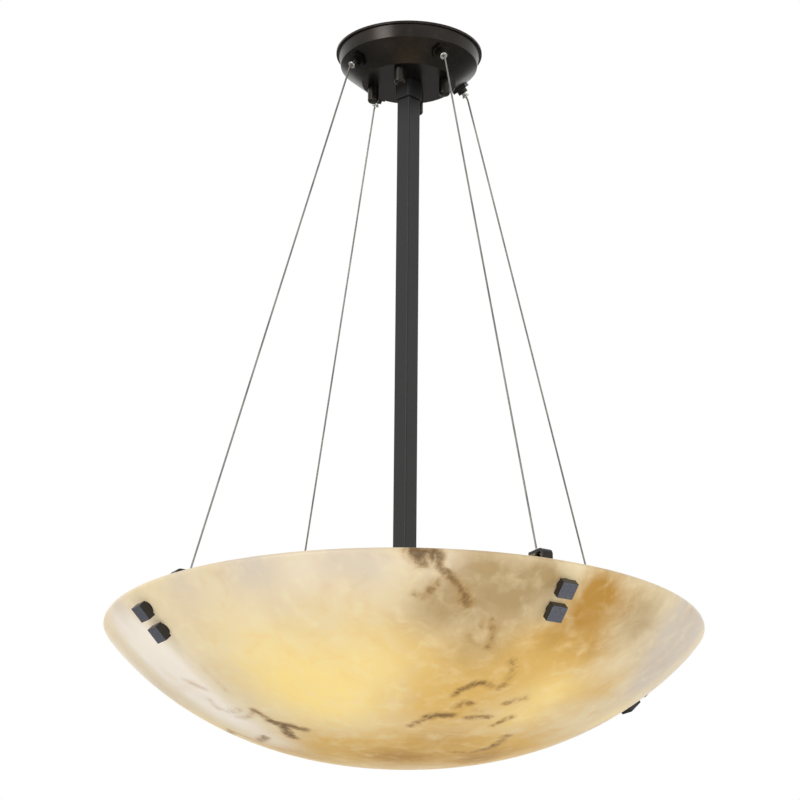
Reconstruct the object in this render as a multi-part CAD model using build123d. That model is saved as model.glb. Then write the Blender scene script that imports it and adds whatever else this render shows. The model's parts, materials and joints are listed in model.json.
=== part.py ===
from build123d import *
import math
import os

# Alabaster bowl pendant. Millimetres, +Z up, -Y towards the front.
# The origin is the centre of the ceiling mount: the ceiling plane is Z = 0 and
# everything hangs below it.

# ---- bowl ----
BOWL_RADIUS = 307.3      # before the rim is rounded, which leaves about 609 across
BOWL_DEPTH = 132.0
BOWL_WALL = 11.0
RIM_Z = -650.0
RIM_ROUND = 2.0
PROFILE_BELLY = 2.338      # higher makes the bottom flatter
PROFILE_SHOULDER = 0.857   # lower makes the wall stand up more steeply at the rim
SLOPE_STEP = 0.003         # share of the radius over which the slope is taken
PROFILE_STATIONS = (0.0, 0.22, 0.42, 0.60, 0.75, 0.87, 0.95, 1.0)

# ---- ceiling canopy: a lipped drum, a cone and a flat bottom, spun from sheet ----
CANOPY_LIP_RADIUS = 79.7
CANOPY_LIP_HEIGHT = 2.6
CANOPY_DRUM_TOP_RADIUS = 77.0
CANOPY_DRUM_RADIUS = 74.5
CANOPY_DRUM_HEIGHT = 16.0
CANOPY_FLAT_RADIUS = 50.9
CANOPY_HEIGHT = 36.5
CANOPY_WALL = 1.5
CANOPY_EDGE_ROUND = 0.6
CANOPY_CORNER_SHARE = 0.4  # inner corners are drawn in by this share of the wall

# ---- mounting plate behind the canopy ----
PLATE_RADIUS = 54.0
PLATE_THICKNESS = 3.0
PLATE_WIRE_HOLE_RADIUS = 12.0
BOX_SLOT_SPACING = 79.4    # centre to centre, takes ceiling-box screws 69.9 to 88.9 apart
BOX_SLOT_LENGTH = 14.8
BOX_SLOT_WIDTH = 5.2
STUD_COUNT = 4
STUD_CIRCLE_RADIUS = 40.0
STUD_AZIMUTH = -14.3
STUD_RADIUS = 2.5
STUD_HOLE_CLEARANCE = 0.5
STUD_THREAD_BELOW = 13.0   # how far a stud stands out under the canopy
STUD_NUT_ACROSS = 8.0
STUD_NUT_HEIGHT = 3.5
CAP_NUT_RADIUS = 6.0
CAP_NUT_HEIGHT = 18.0
CAP_NUT_DOME = 3.0
CAP_NUT_GAP = 0.3
CAP_NUT_BORE_CLEARANCE = 0.08
CAP_NUT_BORE_SPARE = 0.8   # free depth past the stud's end
GROUND_SCREW_RADIUS = 2.0
GROUND_SCREW_HEAD_RADIUS = 4.2
GROUND_SCREW_HEAD_HEIGHT = 2.8
GROUND_SCREW_AT = (-16.0, 22.0)

# ---- square stem ----
STEM_SIDE = 18.0
STEM_WALL = 1.2
STEM_CORNER = 1.5
STEM_TURN = 2.3            # a corner of the square faces the front, turned this much
STEM_BOTTOM_Z = -672.0
STEM_PLUG_LENGTH = 14.0
STEM_FIT = 0.1
COLLAR_WALL = 2.0
COLLAR_HEIGHT = 20.0
SET_SCREW_RADIUS = 2.0
NIPPLE_RADIUS = 4.85
NIPPLE_BORE_RADIUS = 3.5
NIPPLE_HOLE_CLEARANCE = 0.25
NIPPLE_ABOVE = 12.0        # how far a nipple stands past the sheet that it clamps
WASHER_RADIUS = 13.0
WASHER_THICKNESS = 1.5
LOCK_NUT_ACROSS = 16.0
LOCK_NUT_HEIGHT = 5.0
LEAD_RADIUS = 2.6
LEAD_BEND_RADIUS = 8.0
LEAD_TOP_Z = -15.5
LEAD_REACH = 22.0          # where the lead meets the wire connectors
LEAD_AZIMUTH = 120.7       # between two studs
CONNECTOR_RADIUS = 5.5
CONNECTOR_TIP_RADIUS = 3.0
CONNECTOR_LENGTH = 20.0
CONNECTOR_SPACING = 11.6
FACE_GAP = 0.3             # between parts that lie next to each other
LEAD_PAST_NIPPLE = 2.0

# ---- four clips: cable grip on the canopy, cable, bracket in the bowl ----
CLIP_AZIMUTHS = (30.4, 120.5, 210.5, 302.4)   # degrees from the front towards +X
GRIP_SEAT_SHARE = 0.40     # where the grip sits along the canopy's cone
GRIP_HEX_ACROSS = 17.0
GRIP_HEX_HEIGHT = 3.6
GRIP_BODY_RADIUS = 5.5
GRIP_BODY_OUT = 8.0
GRIP_BODY_IN = 15.0
GRIP_HOLE_CLEARANCE = 0.25
GRIP_NUT_ACROSS = 15.0
GRIP_NUT_HEIGHT = 3.5
GRIP_NUT_GAP = 0.45        # the flat nut spans the curved sheet
GRIP_CHAMBER_RADIUS = 3.6
GRIP_CHAMBER_OUT = 0.3
GRIP_CHAMBER_IN = 13.0
GRIP_CABLE_HOLE_RADIUS = 1.3
GRIP_BALL_RADIUS = 1.1
GRIP_BALL_IN = 4.6
GRIP_BALL_COUNT = 3
GRIP_BALL_FIT = 0.05
SPRING_RADIUS = 2.7
SPRING_WIRE_RADIUS = 0.35
SPRING_TURNS = 4
SLEEVE_RADIUS = 2.8
SLEEVE_FIT = 0.08
SLEEVE_HEAD_RADIUS = 4.0
SLEEVE_HEAD_HEIGHT = 2.4
SLEEVE_OUT = 13.0
SLEEVE_COLLAR_RADIUS = 3.4
SLEEVE_COLLAR_HEIGHT = 1.2
SLEEVE_BORE_RADIUS = 1.4
SLEEVE_ROUND_SHARE = 0.3   # of the head's height
CABLE_RADIUS = 1.0
CABLE_BEND_RADIUS = 10.0
CABLE_BEND_OUT = 2.8       # the bend's corner lies this far outside the sleeve
CABLE_TAIL_IN = 8.0        # loose end inside the canopy, past the grip
TAIL_CAP_RADIUS = 1.5
TAIL_CAP_LENGTH = 4.0
FERRULE_RADIUS = 2.1
FERRULE_ABOVE = 4.0        # from the top leg's middle up the cable
FERRULE_BALL_RADIUS = 3.6
FERRULE_HOLE_CLEARANCE = 0.3

# ---- bracket, screws and square finials ----
SCREW_UPPER_FROM_EDGE = 15.3 # where the screws pass the bowl's outer face
SCREW_LOWER_FROM_EDGE = 33.6
SCREW_RADIUS = 3.0
SCREW_HEAD_RADIUS = 4.9
SCREW_HEAD_HEIGHT = 3.0
SCREW_DOME_SHARE = 0.6       # of the head's height
SCREW_INTO_FINIAL = 5.6
SCREW_FINIAL_CLEARANCE = 0.06
BOWL_HOLE_RADIUS = 4.2
BRACKET_WIDTH = 11.0
BRACKET_THICKNESS = 3.0
BRACKET_BEND_RADIUS = 5.0
BRACKET_BELOW_SCREW = 9.0
BRACKET_ABOVE_SCREW = 15.0   # clear of the screw's head where the strip bends
BRACKET_TOP_FROM_EDGE = 41.8 # the upper bend
BRACKET_TOP_ABOVE_RIM = 20.7 # the top leg is level
BRACKET_ELBOW_ABOVE_RIM = 4.5
BRACKET_REACH = 16.9         # from the upper bend in to the cable
BRACKET_PAST_CABLE = 7.0
BRACKET_HOLE_CLEARANCE = 0.3
PAD_RADIUS = 7.0
PAD_THICKNESS = 2.0
WASHER_OUTER_RADIUS = 7.0
WASHER_OUTER_THICKNESS = 3.0
FINIAL_SIDE = 17.2
FINIAL_DEPTH = 8.1
FINIAL_EDGE = 0.7
FINIAL_GAP = 0.3
FINIAL_SPIN_FREE = 0.7       # spare depth past the screw's end

# ---- lamp cluster under the stem ----
LAMP_COUNT = 3
LAMP_AZIMUTH = 90.0
LAMP_AXIS_BELOW_STEM = 18.0
HUB_RADIUS = 38.0
HUB_HEIGHT = 36.0
HUB_WALL = 2.0
HUB_EDGE = 1.2
HUB_TOP_THICKNESS = 3.0
COVER_THICKNESS = 2.5
COVER_FIT = 0.2
COVER_SCREW_CIRCLE = 26.0
COVER_SCREW_RADIUS = 1.8
COVER_SCREW_HEAD_RADIUS = 3.5
COVER_SCREW_HEAD_HEIGHT = 2.0
COVER_POST_RADIUS = 4.0
SMALL_ROUND_SHARE = 0.4    # of the height of a cover screw's head and of a contact
CUP_START = 42.0
CUP_LENGTH = 48.0
CUP_RADIUS = 21.0
CUP_WALL = 1.2
CUP_NIPPLE_RADIUS = 4.85
CUP_NIPPLE_INSIDE = 8.0
SOCKET_FIT = 0.1
SOCKET_LENGTH = 38.0
SOCKET_BACK = 8.0
SOCKET_BORE_RADIUS = 14.6
SHELL_RADIUS = 14.3
SHELL_WALL = 0.4
SHELL_LENGTH = 25.0
CONTACT_RADIUS = 4.0
CONTACT_CLEARANCE = 2.0
CONTACT_HEIGHT = 2.0
BASE_RADIUS = 13.2
BASE_WALL = 0.6
BASE_LENGTH = 24.0
BASE_TIP_RADIUS = 4.6
BASE_TIP_LENGTH = 3.0
BASE_FROM_CONTACT = 0.3
GLASS_NECK_RADIUS = 12.4
GLASS_RADIUS = 30.0
GLASS_LENGTH = 83.0
GLASS_WALL = 1.0
GLASS_NECK_IN_BASE = 3.0
GLASS_NECK_OUT = 6.0


# ---------------------------------------------------------------- helpers
def at_azimuth(shape, azimuth):
    """Turns a shape made on the +X side to an azimuth counted from the front."""
    return shape.rotate(Axis.Z, azimuth - 90.0)


def around(shape, first_azimuth, count):
    """Copies of a shape made on the +X side, evenly spaced about the vertical axis."""
    return [at_azimuth(shape, first_azimuth + 360.0 * k / count) for k in range(count)]


def save(node, *shapes):
    """Writes one node; several separate solids go in as a group."""
    solids = [solid for shape in shapes for solid in shape.solids()]
    export_step(solids[0] if len(solids) == 1 else Compound(solids), f"parts/{node}.step")


def rod(radius, length, plane=Plane.XY, start=0.0):
    """A cylinder along the plane's normal that starts a distance from its origin."""
    return plane.offset(start) * Cylinder(radius, length, align=(Align.CENTER, Align.CENTER, Align.MIN))


def hexagon_bar(across, height, plane=Plane.XY, start=0.0):
    """A hexagonal prism, given across its flats."""
    base = plane.offset(start) * RegularPolygon(across / 2, 6, major_radius=False)
    return extrude(base, height)


def turned(*points):
    """A solid of revolution about Z from (radius, height) points."""
    outline = Polyline(*[(r, 0, z) for r, z in points], close=True)
    return revolve(make_face(outline), Axis.Z)


def round_edges(solid, radius, edges):
    """Fillets the chosen edges."""
    return fillet(edges, radius) if radius > 0 else solid


def side_plane(radius, z, normal_r, normal_z):
    """A plane at (radius, z) on the +X side whose normal lies in the XZ plane."""
    return Plane(origin=(radius, 0, z), x_dir=(0, 1, 0), z_dir=(normal_r, 0, normal_z))


# ---------------------------------------------------------------- bowl
def bowl_outer_z(radius):
    """Height of the outer face: the depth times (1 - share^belly)^shoulder, under the rim."""
    share = min(radius / BOWL_RADIUS, 1.0)
    return RIM_Z - BOWL_DEPTH * (1 - share**PROFILE_BELLY) ** PROFILE_SHOULDER


def bowl_slope(radius):
    """Slope of the outer face, taken over a short step."""
    step = BOWL_RADIUS * SLOPE_STEP
    inner, outer = abs(radius - step), min(radius + step, BOWL_RADIUS)
    return (bowl_outer_z(outer) - bowl_outer_z(inner)) / (2 * step)


def bowl_normal(radius):
    """Outward unit normal (radius, z) of the outer face."""
    slope = bowl_slope(radius)
    size = math.hypot(slope, 1.0)
    return slope / size, -1.0 / size


def bowl_solid():
    """The shell: the outer curve revolved, less the same curve moved in by the wall."""
    outer = [(BOWL_RADIUS * s, bowl_outer_z(BOWL_RADIUS * s)) for s in PROFILE_STATIONS]
    inner = []
    for radius, z in outer:
        normal_r, normal_z = bowl_normal(radius)
        inner.append((radius - normal_r * BOWL_WALL, z - normal_z * BOWL_WALL))
    shell = filled_cup(outer) - filled_cup(inner)
    rim = shell.edges().filter_by(GeomType.CIRCLE).group_by(Axis.Z)[-1]
    return round_edges(shell, RIM_ROUND, rim)


def filled_cup(points):
    """A filled cup: a smooth side through (radius, z) points, level at the middle."""
    rim_slope = bowl_slope(BOWL_RADIUS)
    side = Spline(*[(r, 0, z) for r, z in points], tangents=[(1, 0, 0), (1, 0, rim_slope)])
    corner = (0, 0, points[-1][1])
    top = Line(side @ 1, corner)
    axis = Line(corner, side @ 0)
    return revolve(make_face([side, top, axis]), Axis.Z)


# ---------------------------------------------------------------- clip places
SCREW_UPPER_RADIUS = BOWL_RADIUS - SCREW_UPPER_FROM_EDGE
SCREW_LOWER_RADIUS = BOWL_RADIUS - SCREW_LOWER_FROM_EDGE
BRACKET_TOP_RADIUS = BOWL_RADIUS - BRACKET_TOP_FROM_EDGE
UPPER_Z = bowl_outer_z(SCREW_UPPER_RADIUS)
LOWER_Z = bowl_outer_z(SCREW_LOWER_RADIUS)
CHORD = math.hypot(SCREW_UPPER_RADIUS - SCREW_LOWER_RADIUS, UPPER_Z - LOWER_Z)
ALONG_R = (SCREW_UPPER_RADIUS - SCREW_LOWER_RADIUS) / CHORD   # up the wall
ALONG_Z = (UPPER_Z - LOWER_Z) / CHORD
OUT_R, OUT_Z = ALONG_Z, -ALONG_R                              # out of the wall

CONE_R = CANOPY_DRUM_RADIUS - CANOPY_FLAT_RADIUS
CONE_Z = CANOPY_HEIGHT - CANOPY_DRUM_HEIGHT
CONE_LENGTH = math.hypot(CONE_R, CONE_Z)
GRIP_R = CANOPY_DRUM_RADIUS - GRIP_SEAT_SHARE * CONE_R
GRIP_Z = -CANOPY_DRUM_HEIGHT - GRIP_SEAT_SHARE * CONE_Z
GRIP_PLANE = side_plane(GRIP_R, GRIP_Z, CONE_Z / CONE_LENGTH, -CONE_R / CONE_LENGTH)

BEND = GRIP_PLANE.from_local_coords(Vector(0, 0, SLEEVE_OUT + CABLE_BEND_OUT))


def screw_plane(radius, z):
    """At a screw's place on the outer face, with the normal pointing out of the bowl."""
    return side_plane(radius, z, OUT_R, OUT_Z)


def wall_point(radius, z, out, along=0.0):
    """A point (r, z) moved out of the wall and along it from a screw's place."""
    return radius + OUT_R * out + ALONG_R * along, z + OUT_Z * out + ALONG_Z * along


BRACKET_OUT = -(BOWL_WALL + PAD_THICKNESS + BRACKET_THICKNESS / 2)
BRACKET_LOW = wall_point(SCREW_LOWER_RADIUS, LOWER_Z, BRACKET_OUT, -BRACKET_BELOW_SCREW)
BRACKET_KNEE = wall_point(SCREW_UPPER_RADIUS, UPPER_Z, BRACKET_OUT, BRACKET_ABOVE_SCREW)
BRACKET_ELBOW = (BRACKET_TOP_RADIUS, RIM_Z + BRACKET_ELBOW_ABOVE_RIM)
BRACKET_TOP = (BRACKET_TOP_RADIUS, RIM_Z + BRACKET_TOP_ABOVE_RIM)

FOOT = (BRACKET_TOP_RADIUS - BRACKET_REACH, RIM_Z + BRACKET_TOP_ABOVE_RIM)
CABLE_LEAN = math.atan2(FOOT[0] - BEND.X, BEND.Z - FOOT[1])   # from the vertical
FOOT_PLANE = side_plane(*FOOT, math.sin(CABLE_LEAN), -math.cos(CABLE_LEAN))
BALL_BELOW = (BRACKET_THICKNESS / 2 + FERRULE_BALL_RADIUS) / math.cos(CABLE_LEAN)


# ---------------------------------------------------------------- ceiling canopy
def canopy_shell():
    """The spun cover with its holes for the studs, the stem's nipple and the grips."""
    wall = CANOPY_WALL
    flat = -CANOPY_HEIGHT
    shell = turned(
        (CANOPY_LIP_RADIUS, 0),
        (CANOPY_LIP_RADIUS, -CANOPY_LIP_HEIGHT),
        (CANOPY_DRUM_TOP_RADIUS, -CANOPY_LIP_HEIGHT),
        (CANOPY_DRUM_RADIUS, -CANOPY_DRUM_HEIGHT),
        (CANOPY_FLAT_RADIUS, flat),
        (0, flat),
        (0, flat + wall),
        (CANOPY_FLAT_RADIUS - wall * CANOPY_CORNER_SHARE, flat + wall),
        (CANOPY_DRUM_RADIUS - wall, -CANOPY_DRUM_HEIGHT + wall * CANOPY_CORNER_SHARE),
        (CANOPY_DRUM_TOP_RADIUS - wall, 0),
    )
    outside = [
        edge
        for edge in shell.edges().filter_by(GeomType.CIRCLE)
        if edge.center().Z < -CANOPY_LIP_HEIGHT + 0.01
        and min(
            abs(edge.radius - CANOPY_LIP_RADIUS),
            abs(edge.radius - CANOPY_DRUM_RADIUS),
            abs(edge.radius - CANOPY_FLAT_RADIUS),
        )
        < 0.01
    ]
    shell = round_edges(shell, CANOPY_EDGE_ROUND, outside)
    cuts = around(
        rod(STUD_RADIUS + STUD_HOLE_CLEARANCE, 3 * wall, stud_plane(), flat - wall),
        STUD_AZIMUTH,
        STUD_COUNT,
    )
    cuts += at_clips(rod(GRIP_BODY_RADIUS + GRIP_HOLE_CLEARANCE, 8 * wall, GRIP_PLANE, -6 * wall))
    cuts.append(rod(NIPPLE_RADIUS + NIPPLE_HOLE_CLEARANCE, 3 * wall, start=flat - wall))
    return shell - cuts


def stud_plane():
    """Upright plane on the +X side at the studs' circle."""
    return Plane(origin=(STUD_CIRCLE_RADIUS, 0, 0))


def mounting_plate():
    """The steel disc that screws to the ceiling box, with slots on the X axis."""
    plate = rod(PLATE_RADIUS, PLATE_THICKNESS, start=-PLATE_THICKNESS)
    slot = SlotOverall(BOX_SLOT_LENGTH, BOX_SLOT_WIDTH)
    for side in (-1, 1):
        place = Plane(origin=(side * BOX_SLOT_SPACING / 2, 0, -2 * PLATE_THICKNESS))
        plate -= extrude(place * slot, 3 * PLATE_THICKNESS)
    plate -= rod(PLATE_WIRE_HOLE_RADIUS, 3 * PLATE_THICKNESS, start=-2 * PLATE_THICKNESS)
    plate -= around(
        rod(STUD_RADIUS, 3 * PLATE_THICKNESS, stud_plane(), -2 * PLATE_THICKNESS),
        STUD_AZIMUTH,
        STUD_COUNT,
    )
    screw_place = Plane(origin=(*GROUND_SCREW_AT, 0))
    plate -= rod(GROUND_SCREW_RADIUS, 3 * PLATE_THICKNESS, screw_place, -2 * PLATE_THICKNESS)
    return plate


def mounting_stud():
    """A stud from the plate's top face down through the canopy."""
    length = CANOPY_HEIGHT + STUD_THREAD_BELOW
    return rod(STUD_RADIUS, length, stud_plane(), -length)


def stud_nut():
    """The nut that locks a stud under the mounting plate."""
    start = -PLATE_THICKNESS - STUD_NUT_HEIGHT
    nut = hexagon_bar(STUD_NUT_ACROSS, STUD_NUT_HEIGHT, stud_plane(), start)
    return nut - rod(STUD_RADIUS, 2 * STUD_NUT_HEIGHT, stud_plane(), start - 1)


def cap_nut():
    """The tall domed nut that holds the canopy up on a stud."""
    top = -CANOPY_HEIGHT - CAP_NUT_GAP
    nut = rod(CAP_NUT_RADIUS, CAP_NUT_HEIGHT, stud_plane(), top - CAP_NUT_HEIGHT)
    nut = round_edges(nut, CAP_NUT_DOME, nut.edges().group_by(Axis.Z)[0])
    bore_depth = STUD_THREAD_BELOW - CAP_NUT_GAP + CAP_NUT_BORE_SPARE
    bore = rod(STUD_RADIUS + CAP_NUT_BORE_CLEARANCE, bore_depth + 1, stud_plane(), top - bore_depth)
    return nut - bore


def ground_screw():
    """The earthing screw in the mounting plate."""
    place = Plane(origin=(*GROUND_SCREW_AT, 0))
    head = hexagon_bar(
        2 * GROUND_SCREW_HEAD_RADIUS,
        GROUND_SCREW_HEAD_HEIGHT,
        place,
        -PLATE_THICKNESS - GROUND_SCREW_HEAD_HEIGHT,
    )
    return head + rod(GROUND_SCREW_RADIUS, PLATE_THICKNESS, place, -PLATE_THICKNESS)


# ---------------------------------------------------------------- stem
def stem_square(side, corner):
    """A rounded square with one corner to the front, turned a little."""
    square = RectangleRounded(side, side, corner) if corner > 0 else Rectangle(side, side)
    return Rot(0, 0, 45.0 + STEM_TURN) * square


def stem_bar(side, corner, length, top_z):
    """A square bar hanging down from a height."""
    return Pos(0, 0, top_z - length) * extrude(stem_square(side, corner), length)


STEM_TOP_Z = -CANOPY_HEIGHT
STEM_LENGTH = STEM_TOP_Z - STEM_BOTTOM_Z
STEM_INSIDE = STEM_SIDE - 2 * STEM_WALL


def stem_tube():
    """The square tube."""
    tube = stem_bar(STEM_SIDE, STEM_CORNER, STEM_LENGTH, STEM_TOP_Z)
    return tube - stem_bar(STEM_INSIDE, 0, STEM_LENGTH, STEM_TOP_Z)


def stem_plug(top_z):
    """A square plug in the tube's end, with the nipple's thread through it."""
    plug = stem_bar(STEM_INSIDE - 2 * STEM_FIT, 0, STEM_PLUG_LENGTH, top_z)
    return plug - rod(NIPPLE_RADIUS, 3 * STEM_PLUG_LENGTH, start=top_z - 2 * STEM_PLUG_LENGTH)


def stem_collar():
    """The square sleeve round the tube's top, with two set-screw holes."""
    outside = STEM_SIDE + 2 * COLLAR_WALL
    collar = stem_bar(outside, STEM_CORNER + COLLAR_WALL, COLLAR_HEIGHT, STEM_TOP_Z)
    collar -= stem_bar(STEM_SIDE + 2 * STEM_FIT, STEM_CORNER, COLLAR_HEIGHT, STEM_TOP_Z)
    return collar - [set_screw(azimuth, 2 * COLLAR_WALL) for azimuth in SET_SCREW_AZIMUTHS]


SET_SCREW_AZIMUTHS = (135.0 + STEM_TURN, 225.0 + STEM_TURN)


def set_screw(azimuth, length):
    """A headless screw through the collar's back faces onto the tube."""
    place = side_plane(STEM_SIDE / 2, STEM_TOP_Z - COLLAR_HEIGHT / 2, 1, 0)
    return at_azimuth(rod(SET_SCREW_RADIUS, length, place), azimuth)


def nipple(top_z, length):
    """A hollow threaded rod."""
    tube = rod(NIPPLE_RADIUS, length, start=top_z - length)
    return tube - rod(NIPPLE_BORE_RADIUS, length, start=top_z - length)


def stem_washer(top_z):
    """A flat washer on a nipple."""
    disc = rod(WASHER_RADIUS, WASHER_THICKNESS, start=top_z - WASHER_THICKNESS)
    return disc - rod(NIPPLE_RADIUS, WASHER_THICKNESS, start=top_z - WASHER_THICKNESS)


def lock_nut(top_z):
    """A hexagonal nut on a nipple."""
    nut = hexagon_bar(LOCK_NUT_ACROSS, LOCK_NUT_HEIGHT, start=top_z - LOCK_NUT_HEIGHT)
    return nut - rod(NIPPLE_RADIUS, LOCK_NUT_HEIGHT, start=top_z - LOCK_NUT_HEIGHT)


CANOPY_INSIDE_Z = -CANOPY_HEIGHT + CANOPY_WALL
HUB_INSIDE_Z = STEM_BOTTOM_Z - HUB_TOP_THICKNESS


def stem_lead():
    """The lamp lead, held by the stem all the way: from the connectors down to the hub."""
    bottom = HUB_INSIDE_Z - NIPPLE_ABOVE - LEAD_PAST_NIPPLE
    route = FilletPolyline(
        (LEAD_REACH, 0, LEAD_TOP_Z),
        (0, 0, LEAD_TOP_Z),
        (0, 0, bottom),
        radius=LEAD_BEND_RADIUS,
    )
    return sweep(side_plane(LEAD_REACH, LEAD_TOP_Z, -1, 0) * Circle(LEAD_RADIUS), path=route)


def wire_connector(offset):
    """A twist-on connector over the joined wires in the canopy."""
    place = side_plane(LEAD_REACH + CONNECTOR_LENGTH / 2, LEAD_TOP_Z, 1, 0)
    cone = place * Cone(CONNECTOR_RADIUS, CONNECTOR_TIP_RADIUS, CONNECTOR_LENGTH)
    tip = cone.edges().filter_by(GeomType.CIRCLE).sort_by(Axis.X)[-1:]
    return Pos(0, offset, 0) * round_edges(cone, CONNECTOR_TIP_RADIUS / 2, tip)


# ---------------------------------------------------------------- cable grips
def grip_body():
    """The threaded grip: hexagon outside, stepped bore for balls, spring and sleeve."""
    body = rod(GRIP_BODY_RADIUS, GRIP_BODY_OUT + GRIP_BODY_IN, GRIP_PLANE, -GRIP_BODY_IN)
    body += hexagon_bar(GRIP_HEX_ACROSS, GRIP_HEX_HEIGHT, GRIP_PLANE)
    depth = GRIP_CHAMBER_IN + GRIP_CHAMBER_OUT
    body -= rod(GRIP_CHAMBER_RADIUS, depth, GRIP_PLANE, -GRIP_CHAMBER_IN)
    body -= rod(SLEEVE_RADIUS + SLEEVE_FIT, GRIP_BODY_OUT + 1, GRIP_PLANE)
    body -= rod(GRIP_CABLE_HOLE_RADIUS, GRIP_BODY_IN + 1, GRIP_PLANE, -GRIP_BODY_IN - 1)
    return body


def grip_nut():
    """The nut that clamps the grip to the inside of the cone."""
    start = -CANOPY_WALL - GRIP_NUT_GAP - GRIP_NUT_HEIGHT
    nut = hexagon_bar(GRIP_NUT_ACROSS, GRIP_NUT_HEIGHT, GRIP_PLANE, start)
    return nut - rod(GRIP_BODY_RADIUS, 3 * GRIP_NUT_HEIGHT, GRIP_PLANE, start - GRIP_NUT_HEIGHT)


def grip_balls():
    """The balls that wedge round the cable."""
    circle = CABLE_RADIUS + GRIP_BALL_RADIUS + GRIP_BALL_FIT
    balls = []
    for k in range(GRIP_BALL_COUNT):
        angle = math.radians(360.0 * k / GRIP_BALL_COUNT)
        centre = Vector(circle * math.cos(angle), circle * math.sin(angle), -GRIP_BALL_IN)
        balls.append(Pos(GRIP_PLANE.from_local_coords(centre)) * Sphere(GRIP_BALL_RADIUS))
    return balls


def grip_spring():
    """The coil behind the balls, drawn at the length it has with the sleeve pushed in."""
    start = -GRIP_CHAMBER_IN + SPRING_WIRE_RADIUS
    height = GRIP_CHAMBER_IN - GRIP_BALL_IN - GRIP_BALL_RADIUS - 2 * SPRING_WIRE_RADIUS - FACE_GAP
    path = Helix(height / SPRING_TURNS, height, SPRING_RADIUS)
    wire = Plane(origin=path @ 0, z_dir=path % 0) * Circle(SPRING_WIRE_RADIUS)
    coil = sweep(wire, path=path, is_frenet=True)
    return GRIP_PLANE.offset(start) * coil


def release_sleeve():
    """The plunger that is pushed in to free the cable."""
    collar = rod(SLEEVE_COLLAR_RADIUS, SLEEVE_COLLAR_HEIGHT, GRIP_PLANE, -SLEEVE_COLLAR_HEIGHT)
    stem = rod(SLEEVE_RADIUS, SLEEVE_OUT, GRIP_PLANE)
    head = rod(SLEEVE_HEAD_RADIUS, SLEEVE_HEAD_HEIGHT, GRIP_PLANE, SLEEVE_OUT - SLEEVE_HEAD_HEIGHT)
    head_edges = head.edges().filter_by(GeomType.CIRCLE)
    head = round_edges(head, SLEEVE_HEAD_HEIGHT * SLEEVE_ROUND_SHARE, head_edges)
    sleeve = stem + collar + head
    length = SLEEVE_OUT + 2 * SLEEVE_COLLAR_HEIGHT
    return sleeve - rod(SLEEVE_BORE_RADIUS, length + 1, GRIP_PLANE, -2 * SLEEVE_COLLAR_HEIGHT)


TAIL_IN = GRIP_BODY_IN + CABLE_TAIL_IN
CABLE_START = GRIP_PLANE.from_local_coords(Vector(0, 0, -TAIL_IN))
CABLE_END = FOOT_PLANE.from_local_coords(Vector(0, 0, -FERRULE_ABOVE))


def suspension_cable():
    """The steel cable: along the grip's axis, one bend at its mouth, then straight and taut."""
    route = FilletPolyline(CABLE_START, BEND, CABLE_END, radius=CABLE_BEND_RADIUS)
    profile = GRIP_PLANE.offset(-TAIL_IN) * Circle(CABLE_RADIUS)
    return sweep(profile, path=route)


def tail_cap():
    """The crimped cap on the cable's loose end."""
    cap = rod(TAIL_CAP_RADIUS, TAIL_CAP_LENGTH, GRIP_PLANE, -TAIL_IN - TAIL_CAP_LENGTH / 2)
    return cap - rod(CABLE_RADIUS, TAIL_CAP_LENGTH, GRIP_PLANE, -TAIL_IN)


def cable_ferrule():
    """The swaged end that passes the bracket's hole, its ball bearing from below."""
    shank = rod(FERRULE_RADIUS, FERRULE_ABOVE + BALL_BELOW, FOOT_PLANE, -FERRULE_ABOVE)
    centre = FOOT_PLANE.from_local_coords(Vector(0, 0, BALL_BELOW))
    return shank + Pos(centre) * Sphere(FERRULE_BALL_RADIUS)


# ---------------------------------------------------------------- bracket and finials
def rim_bracket():
    """The bent strip inside the bowl: along the wall, in, up past the rim and in to the cable."""
    middle = FilletPolyline(
        (BRACKET_LOW[0], 0, BRACKET_LOW[1]),
        (BRACKET_KNEE[0], 0, BRACKET_KNEE[1]),
        (BRACKET_ELBOW[0], 0, BRACKET_ELBOW[1]),
        (BRACKET_TOP[0], 0, BRACKET_TOP[1]),
        (FOOT[0] - BRACKET_PAST_CABLE, 0, FOOT[1]),
        radius=BRACKET_BEND_RADIUS,
    )
    start = side_plane(*BRACKET_LOW, ALONG_R, ALONG_Z)
    strip = sweep(start * Rectangle(BRACKET_WIDTH, BRACKET_THICKNESS), path=middle)
    screw_hole = SCREW_RADIUS + BRACKET_HOLE_CLEARANCE
    half = 2 * BRACKET_THICKNESS
    for plane in SCREW_PLANES:
        strip -= rod(screw_hole, 2 * half, plane, BRACKET_OUT - half)
    return strip - rod(FERRULE_RADIUS + FERRULE_HOLE_CLEARANCE, 2 * half, FOOT_PLANE, -half)


SCREW_PLANES = (
    screw_plane(SCREW_UPPER_RADIUS, UPPER_Z),
    screw_plane(SCREW_LOWER_RADIUS, LOWER_Z),
)
BRACKET_INSIDE = BRACKET_OUT - BRACKET_THICKNESS / 2
BRACKET_OUTSIDE = BRACKET_OUT + BRACKET_THICKNESS / 2
FINIAL_START = WASHER_OUTER_THICKNESS + FINIAL_GAP


def bowl_hole(plane):
    """The drilled hole for one screw."""
    return rod(BOWL_HOLE_RADIUS, 3 * BOWL_WALL, plane, -2 * BOWL_WALL)


def inner_pad(plane, bowl):
    """A rubber pad between bracket and stone, shaped to the stone's inner face."""
    disc = rod(PAD_RADIUS, PAD_THICKNESS + PAD_THICKNESS / 2, plane, BRACKET_OUTSIDE)
    disc -= rod(SCREW_RADIUS + BRACKET_HOLE_CLEARANCE, 4 * PAD_THICKNESS, plane, BRACKET_OUTSIDE - 1)
    return disc - bowl


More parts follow.
